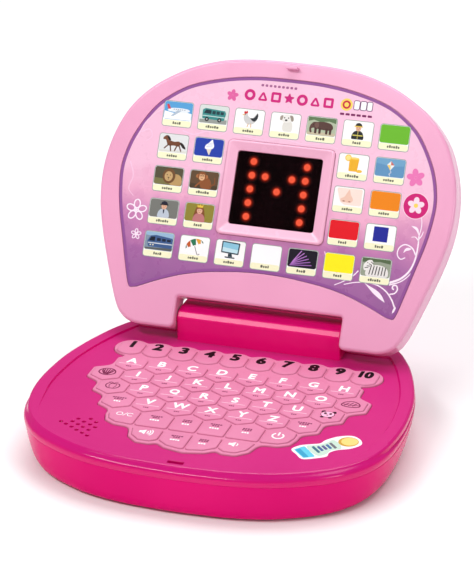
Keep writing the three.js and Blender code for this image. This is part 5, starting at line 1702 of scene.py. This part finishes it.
# ------------------------------------------------------------------ display
g = Geo(lid_pt)
win = rect(-25.35, 25.35, 74.77, 117.27, 1.3, 5)
g.loft(rounded_slab(win, 7.4, 8.4, 0.15, 0.25, 3))
place(g.mesh("win"), "display_window_smoked", "lid", [SMOKED], ["display_window"])
g = Geo(lid_pt)
bd = rect(-28, 28, 72, 120, 1.0, 4)
g.loft([(bd, 2.5), (bd, 5.9)])
M_LIT = {(0, j) for j in range(5)} | {(4, j) for j in range(5)} | {(1, 1), (3, 1), (2, 2)}
for i in range(5):
    for j in range(5):
        cx, cy = -16.12 + 8.06 * i, 112.14 - 8.06 * j
        m = 1 if (i, j) in M_LIT else 2
        sec = [(circle(cx, cy, 1.95, 28), 5.85), (circle(cx, cy, 1.95, 28), 6.3)]
        for k in range(1, 6):
            a = math.pi / 2 * k / 6
            sec.append((circle(cx, cy, 1.95 * math.cos(a), 28), 6.3 + 0.8 * math.sin(a)))
        sec.append((circle(cx, cy, 0.25, 28), 7.1))
        g.loft(sec, m)
# painted glow: emissive rings round each lit lamp; their ink colours are the glow's strength, falling to nothing at the
# rim
halo = Geo(lid_pt)
for i, j in sorted(M_LIT):
    cx, cy = -16.12 + 8.06 * i, 112.14 - 8.06 * j
    n, v, f, col = 28, [], [], []
    rings = [(2.0, 2.2), (2.6, 0.8), (3.2, 0.2), (3.95, 0.0)]
    v += [(*p, 6.0) for p in circle(cx, cy, 4.0, n)]
    col += [(0, 0, 0)] * n
    for r_, e_ in reversed(rings):
        v += [(*p, 6.25) for p in circle(cx, cy, r_, n)]
        col += [(e_, 0.05 * e_, 0.012 * e_)] * n
    for k in range(4):
        for q in range(n):
            f.append((k * n + q, k * n + (q + 1) % n, (k + 1) * n + (q + 1) % n, (k + 1) * n + q))
    f.append(tuple(reversed(range(n))))
    f.append(tuple(4 * n + q for q in range(n)))
    halo.shell(v, f)
    halo.c[-len(v):] = col
place(halo.mesh("halo"), "lamp_glow_rings", "lid", [GLOW])
place(g.mesh("lamps"), "lamp_board_5x5", "lid", [DARK, LAMP_ON, LAMP_OFF], ["led_matrix"])

# ------------------------------------------------------------------ screws, battery door, cells, contacts, loudspeaker
def screw(name, x, y, z_head, z_top, head_r, shank_r, z_end, body):
    """Pan head with a cross recess, seen from below; the shank has a fine thread."""
    sec = [(circle(x, y, 0.5, 32), z_end - 0.0)]
    sec = []
    n = 32
    turns = max(6, int((z_end - z_top) / 0.9))
    prof_ = [(head_r - 0.9, z_head), (head_r - 0.35, z_head + 0.06), (head_r, z_head + 0.35), (head_r, z_top - 0.05), (head_r - 0.1, z_top), (shank_r, z_top)]
    for k in range(turns):
        za = z_top + 0.2 + (z_end - z_top - 1.0) * k / turns
        zb = z_top + 0.2 + (z_end - z_top - 1.0) * (k + 0.5) / turns
        prof_ += [(shank_r * 0.86, za), (shank_r * 1.04, zb)]
    prof_ += [(shank_r * 0.8, z_end - 0.7), (0.15, z_end)]
    me_ = Geo().loft([(circle(x, y, r_, n), z_) for r_, z_ in prof_]).mesh("s")
    for ang in (0.35, 0.35 + math.pi / 2):
        c_, s_ = math.cos(ang), math.sin(ang)
        rr = head_r * 0.62
        o_ = np.array([(-rr, -0.33), (rr, -0.33), (rr, 0.33), (-rr, 0.33)]) @ np.array([[c_, s_], [-s_, c_]]) + (x, y)
        me_ = cut(me_, Geo().loft([(o_, z_head - 0.5), (o_, z_head + 0.55)]))
    return place(me_, "screw_" + name, body, [STEEL], [name])


for k, (x, y) in enumerate(CASE_SCREWS):
    screw("base_screw_%d" % (k + 1), x, y, -30.05, -29.45, 2.9, 1.25, -16, "base")
screw("battery_door_screw", 0, -81.6, -30.05, -29.6, 2.4, 1.1, -26.6, "battery_door")

dr = rect(-34, 34, -84, -28, 2.0, 6)
me = Geo().loft(rounded_slab(dr, -30.2, -28.4, 0.35, 0.2, 3)).mesh("door")
for x in (-20, 20):
    me = join(me, Geo().loft([(rect(x - 4, x + 4, -28.6, -25.6, 0.5, 3), -29.4), (rect(x - 4, x + 4, -28.6, -25.6, 0.5, 3), -28.4)]))
me = cut(me, rod(0, -81.6, 1.5, -31, -28, 24))
me = cut(me, rod(0, -81.6, 2.7, -31, -29.3, 32))
for k in range(6):
    y = -36 - 2.4 * k
    o = rect(-11 + 0.6 * k, 11 - 0.6 * k, y - 0.5, y + 0.5, 0.45, 4)
    me = cut(me, Geo().loft([(o, -31), (o, -29.75)]))
tri = round_poly([(-4.5, -54), (4.5, -54), (0, -60)], 0.8, 4)
me = cut(me, Geo().loft([(ccw(tri), -31), (ccw(tri), -29.8)]))
place(me, "battery_cover", "battery_door", [MAGENTA], ["battery_door"], 32)

lathe_x = lambda y, z, sgn: (lambda P: base_pt(np.stack([P[..., 2] * sgn, y + P[..., 0], z + P[..., 1] * sgn], -1)))
for i in range(3):
    y, sg = -41.3 - 14.7 * i, (-1 if i % 2 else 1)
    prof_ = [(4.2, -24.15), (4.6, -24.2), (5.0, -24.75), (6.5, -24.75), (6.9, -24.55), (7.1, -24.1), (7.1, 23.4), (6.9, 23.9), (6.4, 24.15), (2.9, 24.15), (2.75, 24.3), (2.7, 25.1), (2.4, 25.35)]
    g = Geo(lambda P, y=y, sg=sg: base_pt(np.stack([P[..., 2] * sg, y + P[..., 0] * sg, -20.6 + P[..., 1]], -1)))
    g.loft([(circle(0, 0, r_, 40), z_) for r_, z_ in prof_])
    place(g.mesh("cell"), "aa_cell_%d" % (i + 1), "base", [CELL], ["battery_cell_%d" % (i + 1)])


def tube(path, r, sides=10, g=None, to=base_pt):
    """Closed round wire along a path."""
    p = np.asarray(path, float)
    d = np.gradient(p, axis=0)
    d /= np.linalg.norm(d, axis=1, keepdims=True)
    up = np.array([0, 0, 1.0]) if abs(d[0][2]) < 0.9 else np.array([1.0, 0, 0])
    u = np.cross(d[0], up)
    u /= np.linalg.norm(u)
    v, f = [], []
    for k in range(len(p)):
        u = u - d[k] * (u @ d[k])
        u /= np.linalg.norm(u)
        w = np.cross(d[k], u)
        rr = r if np.isscalar(r) else r[k]
        for j in range(sides):
            a = 2 * math.pi * j / sides
            v.append(p[k] + rr * (math.cos(a) * u + math.sin(a) * w))
    for k in range(len(p) - 1):
        for j in range(sides):
            q = (j + 1) % sides
            f.append((k * sides + j, k * sides + q, (k + 1) * sides + q, (k + 1) * sides + j))
    f.append(tuple(reversed(range(sides))))
    f.append(tuple((len(p) - 1) * sides + j for j in range(sides)))
    g = g or Geo(to)
    return g.shell(v, f)


g = Geo()
for i in range(3):
    y, sg = -41.3 - 14.7 * i, (-1 if i % 2 else 1)
    # coil spring against the flat end, a dimpled plate against the button
    t = np.linspace(0, 1, 90)
    rad = 4.6 - 2.4 * t
    a = 2 * math.pi * 4.2 * t
    spring = np.stack([-sg * (29.0 - 3.9 * t), y + rad * np.cos(a), -20.6 + rad * np.sin(a)], 1)
    tube(spring, 0.35, 8, g)
    for side_ in (-1, 1):
        o = rect(y - 5.2, y + 5.2, -26.6, -15.2, 0.8, 4)
        x0, x1 = sorted((side_ * 29.15, side_ * 29.5))
        pl = along_x(o, [(x0, o), (x1, o)])
        g.shell(pl.v, pl.f)
    bt = circle(y, -20.6, 1.8, 24)
    x0, x1 = sorted((sg * 29.2, sg * 27.4))
    small, big = circle(y, -20.6, 1.2, 24), bt
    st_ = [(x0, small if sg > 0 else big), (x1, big if sg > 0 else small)]
    pl = along_x(bt, st_)
    g.shell(pl.v, pl.f)
place(g.mesh("contacts"), "battery_contacts", "base", [SPRING])

sp = [(3.0, -15.0), (8.3, -15), (8.8, -14.8), (9, -14.4), (9, -10.7), (10.5, -9.8), (13.5, -7.0), (14.1, -6.5), (14.2, -6.2), (14.2, -4.8), (14.0, -4.62), (12.9, -4.6), (12.4, -4.75), (11.6, -4.9), (10.8, -5.0), (8, -6.1), (5.6, -6.75), (4.4, -6.9), (3.9, -6.4), (2.8, -5.8), (1.2, -5.45)]
place(Geo().loft([(circle(-64.2, -117.4, r_, 48), z_) for r_, z_ in sp], ring=False).mesh("sp"), "loudspeaker", "base", [CONE], ["speaker"])

for node, m, in (("main_board", BOARD), ("display_cable", WIRE), ("display_cable_base_run", WIRE)):
    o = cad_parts[node]
    o.data.materials.clear()
    o.data.materials.append(m)

# ------------------------------------------------------------------ sticker on the deck: plain shapes on a white die-cut backing
g = Geo()
a, b = np.array((65.4, -110.0)), np.array((81.8, -94.4))
d = (b - a) / np.linalg.norm(b - a)
nn = np.array((-d[1], d[0]))
S = lambda u, w: a + d * u + nn * w
back = ccw(catmull([S(-8.2, -6.4), S(-8.6, 0), S(-8.2, 6.4), S(-2, 8.4), S(5, 6.6), S(9, 5.6), S(13, 7.6), S(21, 8.4), S(28.6, 5.6), S(30.4, 0), S(28.4, -5.6), S(21, -7.4), S(13, -5.6), S(8, -6.6), S(5, -9.6), S(-1, -9.0)], fine=6))
g.plate(back, DECK_Z - 0.2, DECK_Z + 0.06, 0, srgb(252, 240, 246))
g.plate(ccw(round_poly([S(-7.2, -5.8), S(-0.6, -7.2), S(-0.2, 6.6), S(-7.2, 5.6)], 0.9, 4)), DECK_Z - 0.2, DECK_Z + 0.085, 0, srgb(96, 200, 226))
g.plate(ccw(round_poly([S(-6.6, -5.2), S(-3.9, -5.8), S(-3.7, 5.2), S(-6.6, 4.8)], 0.6, 4)), DECK_Z - 0.2, DECK_Z + 0.1, 0, srgb(58, 160, 198))
g.plate(ccw(catmull([S(1.0, -7.0), S(1.0, 6.2), S(6, 4.8), S(12, 4.6), S(17, 6.0), S(18, 0), S(16, -5.2), S(10, -4.6), S(6, -7.2)], fine=5)), DECK_Z - 0.2, DECK_Z + 0.085, 0, srgb(196, 222, 206))
cc = S(23.4, 0.2)
g.plate(circle(cc[0], cc[1], 5.6, 40), DECK_Z - 0.2, DECK_Z + 0.085, 0, srgb(244, 214, 126))
g.plate(circle(cc[0], cc[1], 5.6, 40), DECK_Z - 0.2, DECK_Z + 0.1, 0, srgb(206, 160, 60), [circle(cc[0] + 0.5, cc[1] + 0.5, 4.6, 36)])
for k, (u, h, c) in enumerate(((2.6, 4.6, (60, 110, 130)), (5.2, 3.4, (70, 100, 150)), (7.8, 2.9, (90, 90, 140)), (10.4, 3.1, (70, 110, 160)), (13.0, 4.0, (110, 110, 120)))):
    g.plate(ccw(round_poly([S(u, -h), S(u + 1.7, -h * 0.8), S(u + 1.7, h), S(u, h * 0.8)], 0.5, 3)), DECK_Z - 0.2, DECK_Z + 0.11, 0, srgb(*c))
place(g.mesh("sticker"), "deck_sticker", "base", [INK])

# ------------------------------------------------------------------ stage, light, camera
floor_me = bpy.data.meshes.new("floor")
floor_me.from_pydata([(-4, -4, 0), (4, -4, 0), (4, 4, 0), (-4, 4, 0)], [], [(0, 1, 2, 3)])
floor = bpy.data.objects.new("floor", floor_me)
SCENE.collection.objects.link(floor)
fm = bpy.data.materials.new("floor_white")
fm.use_nodes = True
fm.node_tree.nodes["Principled BSDF"].inputs["Base Color"].default_value = (0.93, 0.93, 0.93, 1)
fm.node_tree.nodes["Principled BSDF"].inputs["Roughness"].default_value = 0.7
fm.node_tree.nodes["Principled BSDF"].inputs["Specular IOR Level"].default_value = 0.2
floor_me.materials.append(fm)
floor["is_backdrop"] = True

world = bpy.data.worlds.new("studio")
SCENE.world = world
world.use_nodes = True
world.node_tree.nodes["Background"].inputs[0].default_value = (1.0, 1.0, 1.0, 1)
world.node_tree.nodes["Background"].inputs[1].default_value = 0.35


def softbox(name, loc, target, size, power, size_y=None, colour=(1, 1, 1)):
    l = bpy.data.lights.new(name, "AREA")
    l.energy, l.size, l.color = power, size, colour
    if size_y:
        l.shape, l.size_y = "RECTANGLE", size_y
    o = bpy.data.objects.new(name, l)
    SCENE.collection.objects.link(o)
    o.location = loc
    o.rotation_mode = "QUATERNION"
    o.rotation_quaternion = (Vector(target) - Vector(loc)).to_track_quat("-Z", "Y")
    return o


softbox("key_light", (-0.75, -1.15, 1.6), (0, 0, 0.05), 1.4, 19, 0.12)
softbox("top_light", (0.1, 0.6, 1.9), (0, 0.1, 0.0), 2.0, 30, 1.2)
softbox("fill_light", (1.5, -0.9, 0.9), (0, 0, 0.08), 0.5, 4.5, 0.5)

az, el, roll = math.radians(18.02), math.radians(24.15), math.radians(-0.43)
back_ = np.array([math.sin(az) * math.cos(el), -math.cos(az) * math.cos(el), math.sin(el)])
right_ = np.array([math.cos(az), math.sin(az), 0])
up_ = np.cross(back_, right_)
R_ = right_ * math.cos(roll) + up_ * math.sin(roll)
U_ = -right_ * math.sin(roll) + up_ * math.cos(roll)
pos = R_ * -11.04 + U_ * 36.54 + back_ * 1783.84 + np.array([0, Y_SHIFT, BASE_H])
cam_data = bpy.data.cameras.new("camera")
cam_data.lens, cam_data.sensor_width, cam_data.clip_start, cam_data.clip_end = 194.32, 36, 0.05, 30
cam = bpy.data.objects.new("camera", cam_data)
SCENE.collection.objects.link(cam)
M = Matrix.Identity(4)
for k, vec in enumerate((R_, U_, back_)):
    for j in range(3):
        M[j][k] = vec[j]
for j in range(3):
    M[j][3] = pos[j] / 1000
cam.matrix_world = M
SCENE.camera = cam
SCENE.view_settings.view_transform = "Standard"
SCENE.view_settings.look = "None"

low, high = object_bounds()
